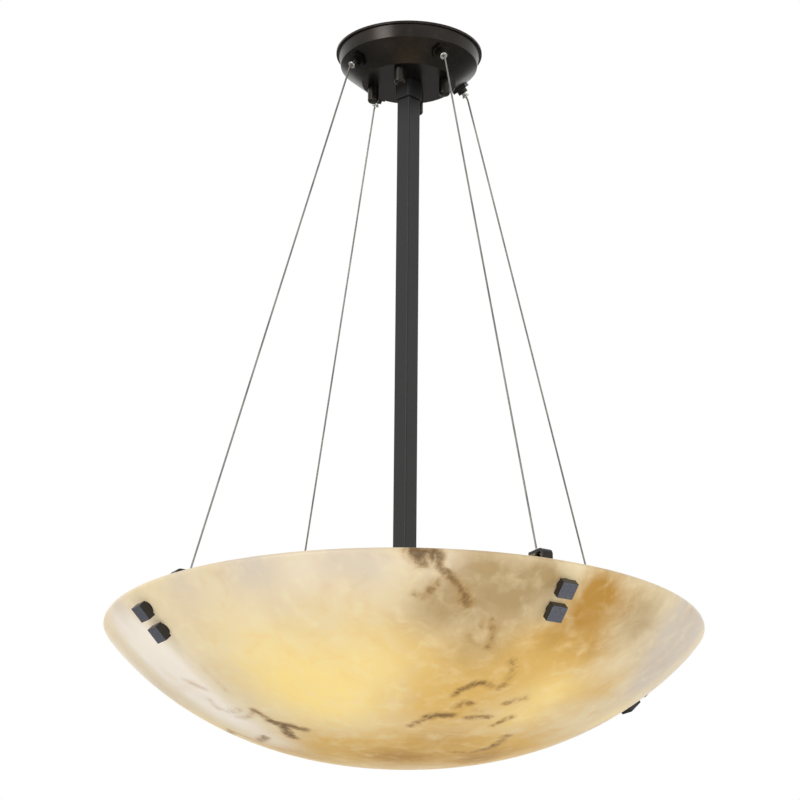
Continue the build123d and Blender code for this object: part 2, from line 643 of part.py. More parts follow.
def outer_washer(plane, bowl):
    """A rubber washer under a finial, shaped to the stone's outer face."""
    thickness = WASHER_OUTER_THICKNESS
    disc = rod(WASHER_OUTER_RADIUS, 2 * thickness, plane, -thickness)
    disc -= rod(SCREW_RADIUS + BRACKET_HOLE_CLEARANCE, 4 * thickness, plane, -2 * thickness)
    return disc - bowl


def finial_screw(plane):
    """A button-head screw from inside the bowl out into its finial."""
    length = FINIAL_START + SCREW_INTO_FINIAL - BRACKET_INSIDE
    shank = rod(SCREW_RADIUS, length, plane, BRACKET_INSIDE)
    head = rod(SCREW_HEAD_RADIUS, SCREW_HEAD_HEIGHT, plane, BRACKET_INSIDE - SCREW_HEAD_HEIGHT)
    dome = [edge for edge in head.edges().filter_by(GeomType.CIRCLE) if inward(edge, plane)]
    return shank + round_edges(head, SCREW_HEAD_HEIGHT * SCREW_DOME_SHARE, dome)


def inward(edge, plane):
    """Whether a screw head's edge is the one away from the bracket."""
    return plane.to_local_coords(edge.center()).Z < BRACKET_INSIDE - SCREW_HEAD_HEIGHT / 2


def square_finial(plane):
    """The square knob that turns on the screw outside the bowl."""
    middle = plane.offset(FINIAL_START + FINIAL_DEPTH / 2)
    block = Box(FINIAL_SIDE, FINIAL_SIDE, FINIAL_DEPTH)
    block = middle * round_edges(block, FINIAL_EDGE, block.edges())
    depth = SCREW_INTO_FINIAL + FINIAL_SPIN_FREE
    return block - rod(SCREW_RADIUS + SCREW_FINIAL_CLEARANCE, depth + 1, plane, FINIAL_START - 1)


# ---------------------------------------------------------------- lamp cluster
LAMP_Z = STEM_BOTTOM_Z - LAMP_AXIS_BELOW_STEM
LAMP_PLANE = side_plane(0, LAMP_Z, 1, 0)
SOCKET_START = CUP_START + CUP_NIPPLE_INSIDE
SHELL_START = SOCKET_START + SOCKET_BACK
BASE_TIP_START = SHELL_START + SHELL_WALL + CONTACT_HEIGHT + BASE_FROM_CONTACT
BASE_START = BASE_TIP_START + BASE_TIP_LENGTH
BASE_END = BASE_START + BASE_LENGTH
HUB_BOTTOM_Z = STEM_BOTTOM_Z - HUB_HEIGHT
LAMP_PITCH = 360.0 / LAMP_COUNT
COVER_SCREW_AZIMUTHS = [LAMP_AZIMUTH + LAMP_PITCH * (side + 0.5) for side in (0, 1)]
COVER_SCREW_PLANE = Plane(origin=(COVER_SCREW_CIRCLE, 0, 0))


def cluster_hub():
    """The turned hub under the stem, open below, with a hole for each lamp's nipple."""
    hub = rod(HUB_RADIUS, HUB_HEIGHT, start=HUB_BOTTOM_Z)
    hub = round_edges(hub, HUB_EDGE, hub.edges().group_by(Axis.Z)[-1])
    room = HUB_HEIGHT - HUB_TOP_THICKNESS
    hub -= rod(HUB_RADIUS - HUB_WALL, room, start=HUB_BOTTOM_Z)
    post_length = room - COVER_THICKNESS
    for azimuth in COVER_SCREW_AZIMUTHS:
        post = rod(COVER_POST_RADIUS, post_length, COVER_SCREW_PLANE, HUB_BOTTOM_Z + COVER_THICKNESS)
        hub += at_azimuth(post, azimuth)
        pilot = rod(COVER_SCREW_RADIUS, room / 2, COVER_SCREW_PLANE, HUB_BOTTOM_Z)
        hub -= at_azimuth(pilot, azimuth)
    side_hole = rod(CUP_NIPPLE_RADIUS, 4 * HUB_WALL, LAMP_PLANE, HUB_RADIUS - 2 * HUB_WALL)
    hub -= around(side_hole, LAMP_AZIMUTH, LAMP_COUNT)
    return hub - rod(NIPPLE_RADIUS, 3 * HUB_TOP_THICKNESS, start=HUB_INSIDE_Z - HUB_TOP_THICKNESS)


def cluster_cover():
    """The plate that closes the hub from below."""
    cover = rod(HUB_RADIUS - HUB_WALL - COVER_FIT, COVER_THICKNESS, start=HUB_BOTTOM_Z)
    for azimuth in COVER_SCREW_AZIMUTHS:
        hole = rod(COVER_SCREW_RADIUS, 3 * COVER_THICKNESS, COVER_SCREW_PLANE, HUB_BOTTOM_Z - COVER_THICKNESS)
        cover -= at_azimuth(hole, azimuth)
    return cover


def cover_screw():
    """A pan-head screw up into the hub's post."""
    shank = rod(COVER_SCREW_RADIUS, 4 * COVER_THICKNESS, COVER_SCREW_PLANE, HUB_BOTTOM_Z)
    head = rod(
        COVER_SCREW_HEAD_RADIUS,
        COVER_SCREW_HEAD_HEIGHT,
        COVER_SCREW_PLANE,
        HUB_BOTTOM_Z - COVER_SCREW_HEAD_HEIGHT,
    )
    head = round_edges(head, COVER_SCREW_HEAD_HEIGHT * SMALL_ROUND_SHARE, head.edges().group_by(Axis.Z)[0])
    return shank + head


def socket_nipple():
    """The short threaded tube from the hub into a lamp cup."""
    length = CUP_START + CUP_NIPPLE_INSIDE - (HUB_RADIUS - 3 * HUB_WALL)
    start = HUB_RADIUS - 3 * HUB_WALL
    tube = rod(CUP_NIPPLE_RADIUS, length, LAMP_PLANE, start)
    return tube - rod(NIPPLE_BORE_RADIUS, length, LAMP_PLANE, start)


def lamp_cup():
    """The metal cup round a socket, closed towards the hub."""
    cup = rod(CUP_RADIUS, CUP_LENGTH, LAMP_PLANE, CUP_START)
    cup = round_edges(cup, 4 * CUP_WALL, cup.edges().filter_by(GeomType.CIRCLE).group_by(Axis.X)[0])
    cup -= rod(CUP_RADIUS - CUP_WALL, CUP_LENGTH, LAMP_PLANE, CUP_START + 4 * CUP_WALL)
    return cup - rod(CUP_NIPPLE_RADIUS, CUP_LENGTH, LAMP_PLANE, CUP_START - CUP_LENGTH / 2)


def lamp_socket():
    """The porcelain socket body, seated on the end of its nipple."""
    body = rod(CUP_RADIUS - CUP_WALL - SOCKET_FIT, SOCKET_LENGTH, LAMP_PLANE, SOCKET_START)
    return body - rod(SOCKET_BORE_RADIUS, SOCKET_LENGTH, LAMP_PLANE, SHELL_START)


def socket_shell():
    """The brass screw shell with its floor."""
    shell = rod(SHELL_RADIUS, SHELL_LENGTH, LAMP_PLANE, SHELL_START)
    shell -= rod(SHELL_RADIUS - SHELL_WALL, SHELL_LENGTH, LAMP_PLANE, SHELL_START + SHELL_WALL)
    floor_hole = CONTACT_RADIUS + CONTACT_CLEARANCE
    return shell - rod(floor_hole, 3 * SHELL_WALL, LAMP_PLANE, SHELL_START - SHELL_WALL)


def socket_contact():
    """The centre contact on the socket's floor."""
    button = rod(CONTACT_RADIUS, SHELL_WALL + CONTACT_HEIGHT, LAMP_PLANE, SHELL_START)
    front = button.edges().filter_by(GeomType.CIRCLE).group_by(Axis.X)[-1]
    return round_edges(button, CONTACT_HEIGHT * SMALL_ROUND_SHARE, front)


def lamp_line(*points):
    """A solid of revolution about a lamp's axis from (distance, radius) points."""
    outline = Polyline(*[(x, 0, LAMP_Z + r) for x, r in points], close=True)
    return revolve(make_face(outline), Axis((0, 0, LAMP_Z), (1, 0, 0)))


def bulb_base():
    """The screw base with its tip: a shell that holds the glass neck."""
    return lamp_line(
        (BASE_TIP_START, 0),
        (BASE_TIP_START, BASE_TIP_RADIUS),
        (BASE_START, BASE_RADIUS - 2 * BASE_WALL),
        (BASE_START + 2 * BASE_WALL, BASE_RADIUS),
        (BASE_END, BASE_RADIUS),
        (BASE_END, BASE_RADIUS - BASE_WALL),
        (BASE_START + 2 * BASE_WALL, BASE_RADIUS - BASE_WALL),
        (BASE_START + 2 * BASE_WALL, 0),
    )


def bulb_glass():
    """The glass: a straight neck in the base, a swelling shoulder and a round front."""
    outer = glass_half(0.0)
    inner = glass_half(GLASS_WALL)
    return outer - inner


def glass_half(inset):
    """The glass's filled form, drawn in from its outer face by an inset."""
    neck = GLASS_NECK_RADIUS - inset
    ball = GLASS_RADIUS - inset
    middle = BASE_END + GLASS_LENGTH - GLASS_RADIUS
    front = BASE_END + GLASS_LENGTH - inset
    start = BASE_END - GLASS_NECK_IN_BASE - inset
    shoulder = BASE_END + GLASS_NECK_OUT
    lines = [
        Line((start, 0, LAMP_Z), (start, 0, LAMP_Z + neck)),
        Line((start, 0, LAMP_Z + neck), (shoulder, 0, LAMP_Z + neck)),
        Spline(
            (shoulder, 0, LAMP_Z + neck),
            (middle, 0, LAMP_Z + ball),
            tangents=[(1, 0, 0), (1, 0, 0)],
        ),
        ThreePointArc(
            (middle, 0, LAMP_Z + ball),
            (middle + ball * math.sqrt(0.5), 0, LAMP_Z + ball * math.sqrt(0.5)),
            (front, 0, LAMP_Z),
        ),
        Line((front, 0, LAMP_Z), (start, 0, LAMP_Z)),
    ]
    return revolve(make_face(lines), Axis((0, 0, LAMP_Z), (1, 0, 0)))


# ---------------------------------------------------------------- assembly
def at_clips(shape):
    """One copy of a shape at each clip."""
    return [at_azimuth(shape, azimuth) for azimuth in CLIP_AZIMUTHS]


def at_lamps(shape):
    """One copy of a shape at each lamp."""
    return around(shape, LAMP_AZIMUTH, LAMP_COUNT)


def clip_names(stem):
    """One name for each clip, counted from the right front round to the left front."""
    places = ("front_right", "back_right", "back_left", "front_left")
    return [f"{stem}_{place}" for place in places]


def build():
    """Makes every node and writes it."""
    os.makedirs("parts", exist_ok=True)

    blank = bowl_solid()
    drilled = blank - [hole for plane in SCREW_PLANES for hole in at_clips(bowl_hole(plane))]

    save("bowl", drilled)
    save("canopy_shell", canopy_shell())
    save("mounting_plate", mounting_plate())
    save("mounting_studs", *around(mounting_stud(), STUD_AZIMUTH, STUD_COUNT))
    save("stud_nuts", *around(stud_nut(), STUD_AZIMUTH, STUD_COUNT))
    for k, nut in enumerate(around(cap_nut(), STUD_AZIMUTH, STUD_COUNT)):
        save(f"cap_nut_{k + 1}", nut)
    save("ground_screw", ground_screw())

    save("stem_tube", stem_tube())
    save("stem_plugs", stem_plug(STEM_TOP_Z), stem_plug(STEM_BOTTOM_Z + STEM_PLUG_LENGTH))
    save("stem_collar", stem_collar())
    save("collar_set_screws", *[set_screw(a, COLLAR_WALL + STEM_FIT) for a in SET_SCREW_AZIMUTHS])
    grip_length = NIPPLE_ABOVE + STEM_PLUG_LENGTH
    top_nipple = nipple(CANOPY_INSIDE_Z + NIPPLE_ABOVE, grip_length + CANOPY_WALL)
    low_nipple = nipple(STEM_BOTTOM_Z + STEM_PLUG_LENGTH, grip_length + HUB_TOP_THICKNESS)
    save("stem_nipples", top_nipple, low_nipple)
    washer_top = CANOPY_INSIDE_Z + WASHER_THICKNESS
    save("stem_washers", stem_washer(washer_top), stem_washer(HUB_INSIDE_Z))
    lock_nuts = [lock_nut(washer_top + LOCK_NUT_HEIGHT), lock_nut(HUB_INSIDE_Z - WASHER_THICKNESS)]
    save("stem_lock_nuts", *lock_nuts)
    save("stem_lead", at_azimuth(stem_lead(), LEAD_AZIMUTH))
    connectors = [wire_connector(side * CONNECTOR_SPACING / 2) for side in (-1, 1)]
    save("wire_connectors", *[at_azimuth(one, LEAD_AZIMUTH) for one in connectors])

    save("grip_bodies", *at_clips(grip_body()))
    save("grip_nuts", *at_clips(grip_nut()))
    save("grip_balls", *[ball for one in grip_balls() for ball in at_clips(one)])
    save("grip_springs", *at_clips(grip_spring()))
    for name, sleeve in zip(clip_names("release_sleeve"), at_clips(release_sleeve())):
        save(name, sleeve)
    for name, cable in zip(clip_names("cable"), at_clips(suspension_cable())):
        save(name, cable)
    save("cable_tail_caps", *at_clips(tail_cap()))
    save("cable_ferrules", *at_clips(cable_ferrule()))

    save("rim_brackets", *at_clips(rim_bracket()))
    save("bracket_pads", *[pad for plane in SCREW_PLANES for pad in at_clips(inner_pad(plane, blank))])
    washers = [washer for plane in SCREW_PLANES for washer in at_clips(outer_washer(plane, blank))]
    save("finial_washers", *washers)
    save("finial_screws", *[screw for plane in SCREW_PLANES for screw in at_clips(finial_screw(plane))])
    for level, plane in zip(("upper", "lower"), SCREW_PLANES):
        for name, finial in zip(clip_names(f"finial_{level}"), at_clips(square_finial(plane))):
            save(name, finial)

    save("cluster_hub", cluster_hub())
    save("cluster_cover", cluster_cover())
    save("cover_screws", *[at_azimuth(cover_screw(), azimuth) for azimuth in COVER_SCREW_AZIMUTHS])
    save("socket_nipples", *at_lamps(socket_nipple()))
    save("lamp_cups", *at_lamps(lamp_cup()))
    save("lamp_sockets", *at_lamps(lamp_socket()))
    save("socket_shells", *at_lamps(socket_shell()))
    save("socket_contacts", *at_lamps(socket_contact()))
    for k, (base, glass) in enumerate(zip(at_lamps(bulb_base()), at_lamps(bulb_glass()))):
        save(f"bulb_base_{k + 1}", base)
        save(f"bulb_glass_{k + 1}", glass)

    print("cable length", round(suspension_cable().volume / (math.pi * CABLE_RADIUS**2), 1))
    print("cable lean", round(math.degrees(CABLE_LEAN), 2))
    print("lead bend radius", LEAD_BEND_RADIUS, "cable bend radius", CABLE_BEND_RADIUS)


build()
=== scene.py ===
import json
import math

import bpy
import numpy as np
from mathutils import Matrix, Vector


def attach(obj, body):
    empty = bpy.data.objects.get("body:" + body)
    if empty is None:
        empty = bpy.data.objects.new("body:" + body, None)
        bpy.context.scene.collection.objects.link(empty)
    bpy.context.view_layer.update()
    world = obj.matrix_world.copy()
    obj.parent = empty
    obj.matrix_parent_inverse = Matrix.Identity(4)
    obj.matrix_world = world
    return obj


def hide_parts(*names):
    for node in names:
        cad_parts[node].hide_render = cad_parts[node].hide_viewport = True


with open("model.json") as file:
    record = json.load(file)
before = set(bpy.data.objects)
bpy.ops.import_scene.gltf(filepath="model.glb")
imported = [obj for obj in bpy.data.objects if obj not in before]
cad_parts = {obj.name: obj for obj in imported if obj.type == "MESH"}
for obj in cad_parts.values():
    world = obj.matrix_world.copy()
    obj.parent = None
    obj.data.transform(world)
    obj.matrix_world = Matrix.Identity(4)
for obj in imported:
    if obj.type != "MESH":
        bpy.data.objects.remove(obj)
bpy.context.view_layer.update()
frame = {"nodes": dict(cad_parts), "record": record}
nodes = frame["nodes"]

# ---------------------------------------------------------------- sizes, in metres
# The bowl
BOWL_RADIUS = 0.3073
BOWL_DEPTH = 0.132
BOWL_WALL = 0.011
RIM_Z = -0.650
OUTER_LIP, INNER_LIP = 0.0035, 0.002    # rounding of the rim's two edges
BELLY = 2.338                           # how full the bowl's side is
SHOULDER = 0.857                        # how steeply it meets the rim
WALL_OUT = (0.7034, -0.7108)            # out of the stone at the finials, as radius and height

# The cables, from their grips under the canopy to the brackets inside the rim
CLIP_AZIMUTHS = (30.4, 120.5, 210.5, 302.4)
PLACES = ("front_right", "back_right", "back_left", "front_left")
CABLE_DIAMETER = 0.002
GRIP_SEAT = (0.06506, -0.0242)          # radius and height of a cable grip's seat on the canopy
GRIP_NORMAL = (0.65559, -0.75512)
SLEEVE_TIP = 0.013                      # along the grip from its seat
BEND_OUT = 0.0158                       # where the cable turns towards its bracket
PAST_BEND = (0.0028, 0.012)             # the route's next two points, past the bend
TAIL_IN = 0.023                         # the cable's short end inside the canopy
FOOT = (0.2486, RIM_Z + 0.0207)         # radius and height where a cable passes its bracket
FERRULE_TOP = 0.004
ROPE_LAY = 0.013                        # one turn of the strands
ROPE_STEP = 0.0013                      # between two rings of a rope's surface

# The bulbs: distances run outward along a lamp's axis from the stem's centre line
LAMP_Z = -0.690
FIRST_LAMP, LAMP_SPREAD, LAMP_COUNT = 90, 120, 3
BASE_START = 0.0637
BASE_END = 0.0877
CAP_START = BASE_START + 0.0012
CAP_RADIUS = 0.0132
CAP_FRONT_RADIUS = 0.0122
CAP_MOUTH_RADII = (0.01262, 0.0126)     # at its edge, and where it is turned in
THREAD_DEPTH = 0.0007
THREAD_PITCH = 0.0036
INSULATOR_TIP = 0.0607
NECK_RADIUS = 0.0124
GLASS_RADIUS = 0.030
GLASS_LENGTH = 0.083

# The photograph's viewpoint: 2.7 m in front, below the bowl, looking up 19.2 degrees.
PHOTO_SIDE = 800
FOCAL_PIXELS = 2773.0
CAMERA_PLACE = np.array([0.0, -2.745, -1.358])
CAMERA_PITCH, CAMERA_YAW, CAMERA_ROLL = 0.33514, -0.00228, 0.00978


# ---------------------------------------------------------------- meshes
def make_piece(name, points, faces, body):
    """A smooth mesh from an (n, 3) array of points and a list of faces, riding on a body."""
    mesh = bpy.data.meshes.new(name)
    mesh.from_pydata(np.asarray(points).tolist(), [], [tuple(face) for face in faces])
    mesh.polygons.foreach_set("use_smooth", np.full(len(mesh.polygons), True))
    mesh.update()
    piece = bpy.data.objects.new(name, mesh)
    bpy.context.scene.collection.objects.link(piece)
    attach(piece, body)
    return piece


def grid_faces(rows, columns):
    """Quads between neighbouring rows of a grid whose columns close on themselves."""
    i, j = np.meshgrid(np.arange(rows - 1), np.arange(columns), indexing="ij")
    a = i * columns + j
    b = i * columns + (j + 1) % columns
    return np.stack([a, b, b + columns, a + columns], -1).reshape(-1, 4).tolist()


def closed_rings(rings, first, last):
    """Points and faces of a surface given as rings of points, closed by a point at each end.

    rings is a (rows, columns, 3) array. Seen from outside, each ring runs so that the
    quads between it and the next one face outward.
    """
    rows, columns = rings.shape[:2]
    points = np.concatenate([rings.reshape(-1, 3), [first], [last]])
    faces = grid_faces(rows, columns)
    start, end = rows * columns, rows * columns + 1
    j = np.arange(columns)
    nxt = (j + 1) % columns
    faces += np.stack([np.full(columns, start), nxt, j], 1).tolist()
    top = (rows - 1) * columns
    faces += np.stack([np.full(columns, end), top + j, top + nxt], 1).tolist()
    return points, faces


def outward(azimuth):
    """Unit vector in the horizontal plane, azimuth in degrees from the front towards +X."""
    a = math.radians(azimuth)
    return np.array([math.sin(a), -math.cos(a), 0.0])


def bowl_height(radius):
    """Height of the bowl's outer face: depth times (1 - share^belly)^shoulder below the rim."""
    share = np.clip(np.asarray(radius) / BOWL_RADIUS, 0, 1)
    return RIM_Z - BOWL_DEPTH * (1 - share**BELLY) ** SHOULDER


def on_bowl(azimuth, radius_mm):
    """A point on the bowl's outer face."""
    radius = radius_mm / 1000
    return outward(azimuth) * radius + np.array([0, 0, float(bowl_height(radius))])


def bowl_section():
    """The outer face as (radius, z) points at even steps, and its outward normals."""
    samples, rows = 2000, 170
    radius = BOWL_RADIUS * np.sin(np.linspace(0, 1, samples) * math.pi / 2)
    z = bowl_height(radius)
    travel = np.concatenate([[0], np.cumsum(np.hypot(np.diff(radius), np.diff(z)))])
    even = np.linspace(0, travel[-1], rows)
    points = np.stack([np.interp(even, travel, radius), np.interp(even, travel, z)], 1)
    along = np.gradient(points, axis=0)
    normal = np.stack([along[:, 1], -along[:, 0]], 1)
    return points, normal / np.linalg.norm(normal, axis=1)[:, None]


def lip(points, normal, depth, round_off):
    """A rounding of the rim: its place along the face, its centre, and the angle at which it leaves the face.

    The centre is where the outer face, moved into the wall by depth, is round_off below the rim.
    """
    moved = points - normal * depth
    index = np.arange(len(moved))
    place = float(np.interp(RIM_Z - round_off, moved[:, 1], index))
    centre = np.array([np.interp(place, index, moved[:, k]) for k in range(2)])
    side = np.array([np.interp(place, index, normal[:, k]) for k in range(2)])
    return place, centre, math.atan2(side[1], side[0])


def arc(centre, radius, start, end, count=9):
    """Points on a circle's arc."""
    a = np.linspace(start, end, count)[:, None]
    return centre + radius * np.concatenate([np.cos(a), np.sin(a)], 1)


def bowl_profile():
    """The bowl's cross-section: outer face from the middle up, two rounded lips, inner face back down.

    The inner face is the outer one moved in along its normals by the wall, with one row for every four.
    """
    points, normal = bowl_section()
    place, centre, turn = lip(points, normal, OUTER_LIP, OUTER_LIP)
    outer = points[: int(place)]
    out_lip = arc(centre, OUTER_LIP, turn, math.pi / 2)
    place, centre, turn = lip(points, normal, BOWL_WALL - INNER_LIP, INNER_LIP)
    in_lip = arc(centre, INNER_LIP, math.pi / 2, turn + math.pi)
    inner = (points - normal * BOWL_WALL)[: int(place) : 4]
    inner[0, 0] = 0
    return np.concatenate([outer, out_lip, in_lip, inner[::-1]])


def make_bowl():
    """The stone bowl: its cross-section turned about the vertical axis.

    A turn t stands at the angle t - crowding * sin(t) from the front, so the columns
    are closer together there.
    """
    profile = bowl_profile()
    segments, crowding = 400, 0.45
    turn = np.linspace(0, 2 * math.pi, segments, endpoint=False)
    angle = turn - crowding * np.sin(turn) - math.pi / 2
    ring = profile[1:-1]
    r, z = ring[:, 0][:, None], ring[:, 1][:, None]
    rings = np.stack([r * np.cos(angle), r * np.sin(angle), z + 0 * angle], -1)
    points, faces = closed_rings(rings, (0, 0, profile[0, 1]), (0, 0, profile[-1, 1]))
    return make_piece("bowl_stone", points, faces, "root")


# ---------------------------------------------------------------- markings of the stone, with painted light and shade
# Marks on the front are placed by the photograph's pixels and carried onto the stone;
# those that it doesn't show have an azimuth in degrees and a radius in mm.
FRONT_VEINS = (      # pixels along the line, half width in mm, strength
    (((411, 550), (415, 554), (420, 559), (424, 561)), 3.4, 1.0),
    (((417, 552), (424, 555), (431, 554), (437, 555)), 3.4, 1.0),
    (((436, 561), (441, 568), (448, 574)), 1.9, 0.80),
    (((448, 574), (455, 581), (461, 588)), 2.3, 0.90),
    (((461, 588), (465, 594), (466, 603)), 3.0, 0.85),
    (((465, 603), (469, 611), (472, 618)), 2.4, 0.30),
    (((414, 594), (423, 597), (430, 592)), 2.2, 0.50),
    (((430, 590), (433, 587), (436, 582)), 2.4, 0.60),
    (((474, 629), (480, 626), (484, 623), (491, 619)), 2.0, 0.45),
    (((490, 621), (494, 629), (492, 638), (488, 646)), 2.4, 0.60),
    (((488, 646), (480, 646), (472, 641), (469, 635)), 2.0, 0.35),
    (((454, 695), (460, 690), (468, 687)), 1.9, 0.75),
    (((468, 687), (476, 683), (483, 683)), 2.2, 0.85),
    (((483, 683), (491, 686), (498, 688), (505, 684)), 2.2, 0.60),
    (((505, 684), (510, 677), (514, 668), (512, 661)), 2.6, 0.50),
    (((457, 707), (463, 703), (469, 704)), 2.6, 0.65),
    (((474, 710), (482, 711)), 2.2, 0.35),
    (((410, 726), (420, 721), (428, 717)), 2.2, 0.70),
    (((428, 717), (438, 715), (452, 715)), 2.7, 0.85),
    (((465, 718), (476, 717), (489, 717)), 2.3, 0.70),
    (((494, 725), (502, 721), (511, 717)), 2.4, 0.65),
    (((507, 703), (516, 700), (525, 698)), 2.6, 0.55),
    (((455, 752), (468, 753), (484, 750)), 2.0, 0.55),
    (((482, 750), (492, 747), (500, 742), (506, 736)), 2.8, 0.70),
    (((398, 757), (412, 757), (428, 755)), 3.0, 0.30),
    (((202, 667), (212, 677), (226, 690)), 2.2, 0.28),
    (((184, 680), (194, 684), (205, 689)), 2.0, 0.38),
    (((209, 699), (218, 708), (228, 712), (239, 710)), 2.6, 0.40),
    (((238, 718), (248, 717), (256, 711)), 2.2, 0.45),
    (((254, 710), (264, 716), (272, 722)), 2.4, 0.75),
    (((271, 721), (281, 724), (291, 726), (303, 729)), 3.0, 0.95),
    (((284, 727), (288, 733), (293, 737)), 3.0, 0.90),
)
OTHER_VEINS = (      # (azimuth, radius) along the line, half width in mm, strength
    (((112, 262), (118, 240), (116, 215), (126, 196), (131, 170)), 2.6, 0.70),
    (((150, 292), (154, 270), (149, 248), (158, 226)), 2.8, 0.60),
    (((196, 150), (205, 176), (201, 205), (212, 222), (210, 246)), 2.6, 0.75),
    (((176, 92), (188, 118), (203, 125)), 3.0, 0.60),
    (((238, 284), (244, 262), (240, 236)), 2.4, 0.55),
    (((250, 190), (262, 176), (259, 150), (275, 138)), 2.6, 0.65),
)
SOFT_EDGE = 2.6      # a vein fades out over this many half widths
# Broad changes of colour, among them painted light and shade: glow is a painted pool of the bulbs' light
# shining through the stone, and dim darkens patches, with a painted shadow of the front-right bracket seen
# through the stone. On the front: pixel x and y, spread in mm, strength.
# Elsewhere: azimuth, radius, spread, strength.
FRONT_TONES = {
    "gold": ((440, 700, 62, 1.0), (520, 655, 55, 0.8), (575, 650, 45, 0.8), (400, 750, 60, 1.0),
             (480, 750, 55, 1.0), (540, 705, 50, 0.6), (600, 690, 36, 0.5), (330, 745, 44, 0.8),
             (420, 650, 45, 0.5)),
    "ochre": ((602, 590, 22, 1.0), (585, 612, 26, 0.8), (560, 632, 24, 0.45), (594, 645, 26, 0.5),
              (400, 757, 36, 1.0), (480, 757, 34, 1.0), (440, 740, 28, 0.5), (625, 606, 22, 0.5)),
    # dim: darker patches; the spot at 545, 575 is a painted shadow of the front-right bracket seen through
    # the stone
    "dim": ((450, 600, 32, 0.8), (484, 572, 30, 0.9), (520, 598, 34, 0.9), (545, 575, 22, 0.8),
            (480, 645, 34, 0.5), (640, 620, 34, 0.8), (425, 612, 30, 0.4), (655, 645, 26, 0.3)),
    # glow: a painted pool of the bulbs' light shining through the stone
    "glow": ((300, 690, 58, 0.75), (262, 655, 50, 0.35), (345, 706, 45, 0.5), (380, 668, 45, 0.45),
             (552, 692, 30, 0.6), (520, 715, 30, 0.45), (340, 650, 60, 0.25), (610, 716, 24, 0.4)),
    "pale": ((146, 644, 38, 1.0), (166, 664, 38, 1.0), (196, 692, 36, 1.0), (126, 626, 28, 0.7),
             (232, 718, 34, 0.9), (272, 740, 30, 0.5), (300, 566, 30, 0.3), (640, 712, 30, 0.6),
             (664, 690, 30, 0.6)),
    "ash": ((682, 622, 40, 1.0), (668, 655, 38, 1.0), (645, 682, 30, 0.7), (694, 616, 34, 1.0),
            (118, 608, 20, 0.6), (250, 562, 34, 0.9), (180, 580, 28, 0.5), (330, 556, 24, 0.6),
            (372, 562, 26, 0.7), (440, 556, 24, 0.35), (690, 636, 34, 1.0)),
}
OTHER_TONES = {
    "gold": ((110, 120, 70, 0.9), (180, 140, 80, 0.8), (250, 90, 70, 0.7)),
    "ochre": ((130, 270, 34, 0.6), (200, 262, 36, 0.6), (250, 120, 40, 0.5)),
    "dim": ((170, 285, 36, 0.6), (265, 250, 34, 0.5), (110, 210, 34, 0.4)),
    # glow: a painted pool of the bulbs' light shining through the stone
    "glow": ((150, 190, 60, 0.8), (225, 172, 60, 0.7), (252, 210, 40, 0.5)),
    "pale": ((262, 285, 55, 0.7), (185, 300, 45, 0.5), (225, 296, 40, 0.5)),
    "ash": ((100, 290, 50, 0.7), (150, 305, 40, 0.5), (215, 305, 40, 0.4)),
}


def camera_axes():
    """The camera's right, up and ahead directions."""
    pitch, yaw, roll = CAMERA_PITCH, CAMERA_YAW, CAMERA_ROLL
    flat = math.cos(pitch)
    ahead = np.array([math.sin(yaw) * flat, math.cos(yaw) * flat, math.sin(pitch)])
    level = np.cross(ahead, (0, 0, 1))
    level /= np.linalg.norm(level)
    above = np.cross(level, ahead)
    right = level * math.cos(roll) + above * math.sin(roll)
    up = above * math.cos(roll) - level * math.sin(roll)
    return right, up, ahead


def seen_on_bowl(x, y):
    """Where the line of sight through a pixel of the photograph first meets the bowl."""
    right, up, ahead = camera_axes()
    half = PHOTO_SIDE / 2
    ray = ahead + right * (x - half) / FOCAL_PIXELS + up * (half - y) / FOCAL_PIXELS
    nearest, farthest, steps = 2.2, 3.2, 4001
    path = CAMERA_PLACE + np.linspace(nearest, farthest, steps)[:, None] * ray
    radius = np.hypot(path[:, 0], path[:, 1])
    return path[np.argmax((radius < BOWL_RADIUS) & (path[:, 2] >= bowl_height(radius)))]


def blobs(points, places):
    """Sum of round soft spots (centre, spread in mm, strength), at most 1.

    Each gives its strength times e to the minus square of the distance over its spread.
    """
    total = np.zeros(len(points))
    for centre, spread, strength in places:
        gap = np.linalg.norm(points - centre, axis=1) * 1000
        total += strength * np.exp(-((gap / spread) ** 2))
    return np.clip(total, 0, 1)


def vein_lines(points):
    """How strongly each point is veined.

    A vein's strength times e to the minus square of the distance from its line over its soft edge.
    """
    lines = []
    for line, width, depth in FRONT_VEINS:
        lines.append(([seen_on_bowl(*pixel) for pixel in line], width, depth))
    for line, width, depth in OTHER_VEINS:
        lines.append(([on_bowl(*place) for place in line], width, depth))
    total = np.zeros(len(points))
    for corners, width, depth in lines:
        best = np.full(len(points), np.inf)
        for a, b in zip(corners[:-1], corners[1:]):
            along = np.clip((points - a) @ (b - a) / ((b - a) @ (b - a)), 0, 1)
            best = np.minimum(best, np.linalg.norm(points - a - along[:, None] * (b - a), axis=1))
        total = np.maximum(total, depth * np.exp(-((best * 1000 / (SOFT_EDGE * width)) ** 2)))
    return total


def mark_stone(bowl):
    """Writes the markings, the painted pool of light and the painted shade as attributes of the bowl's
    points, for its material.
    """
    points = np.zeros(len(bowl.data.vertices) * 3)
    bowl.data.vertices.foreach_get("co", points)
    points = points.reshape(-1, 3)
    fields = {"vein": vein_lines(points)}
    for tone, spots in FRONT_TONES.items():
        places = [(seen_on_bowl(x, y), *soft) for x, y, *soft in spots]
        places += [(on_bowl(azimuth, radius), *soft) for azimuth, radius, *soft in OTHER_TONES[tone]]
        fields[tone] = blobs(points, places)
    for name, values in fields.items():
        attribute = bowl.data.attributes.new(name, "FLOAT", "POINT")
        attribute.data.foreach_set("value", values.astype(np.float32))


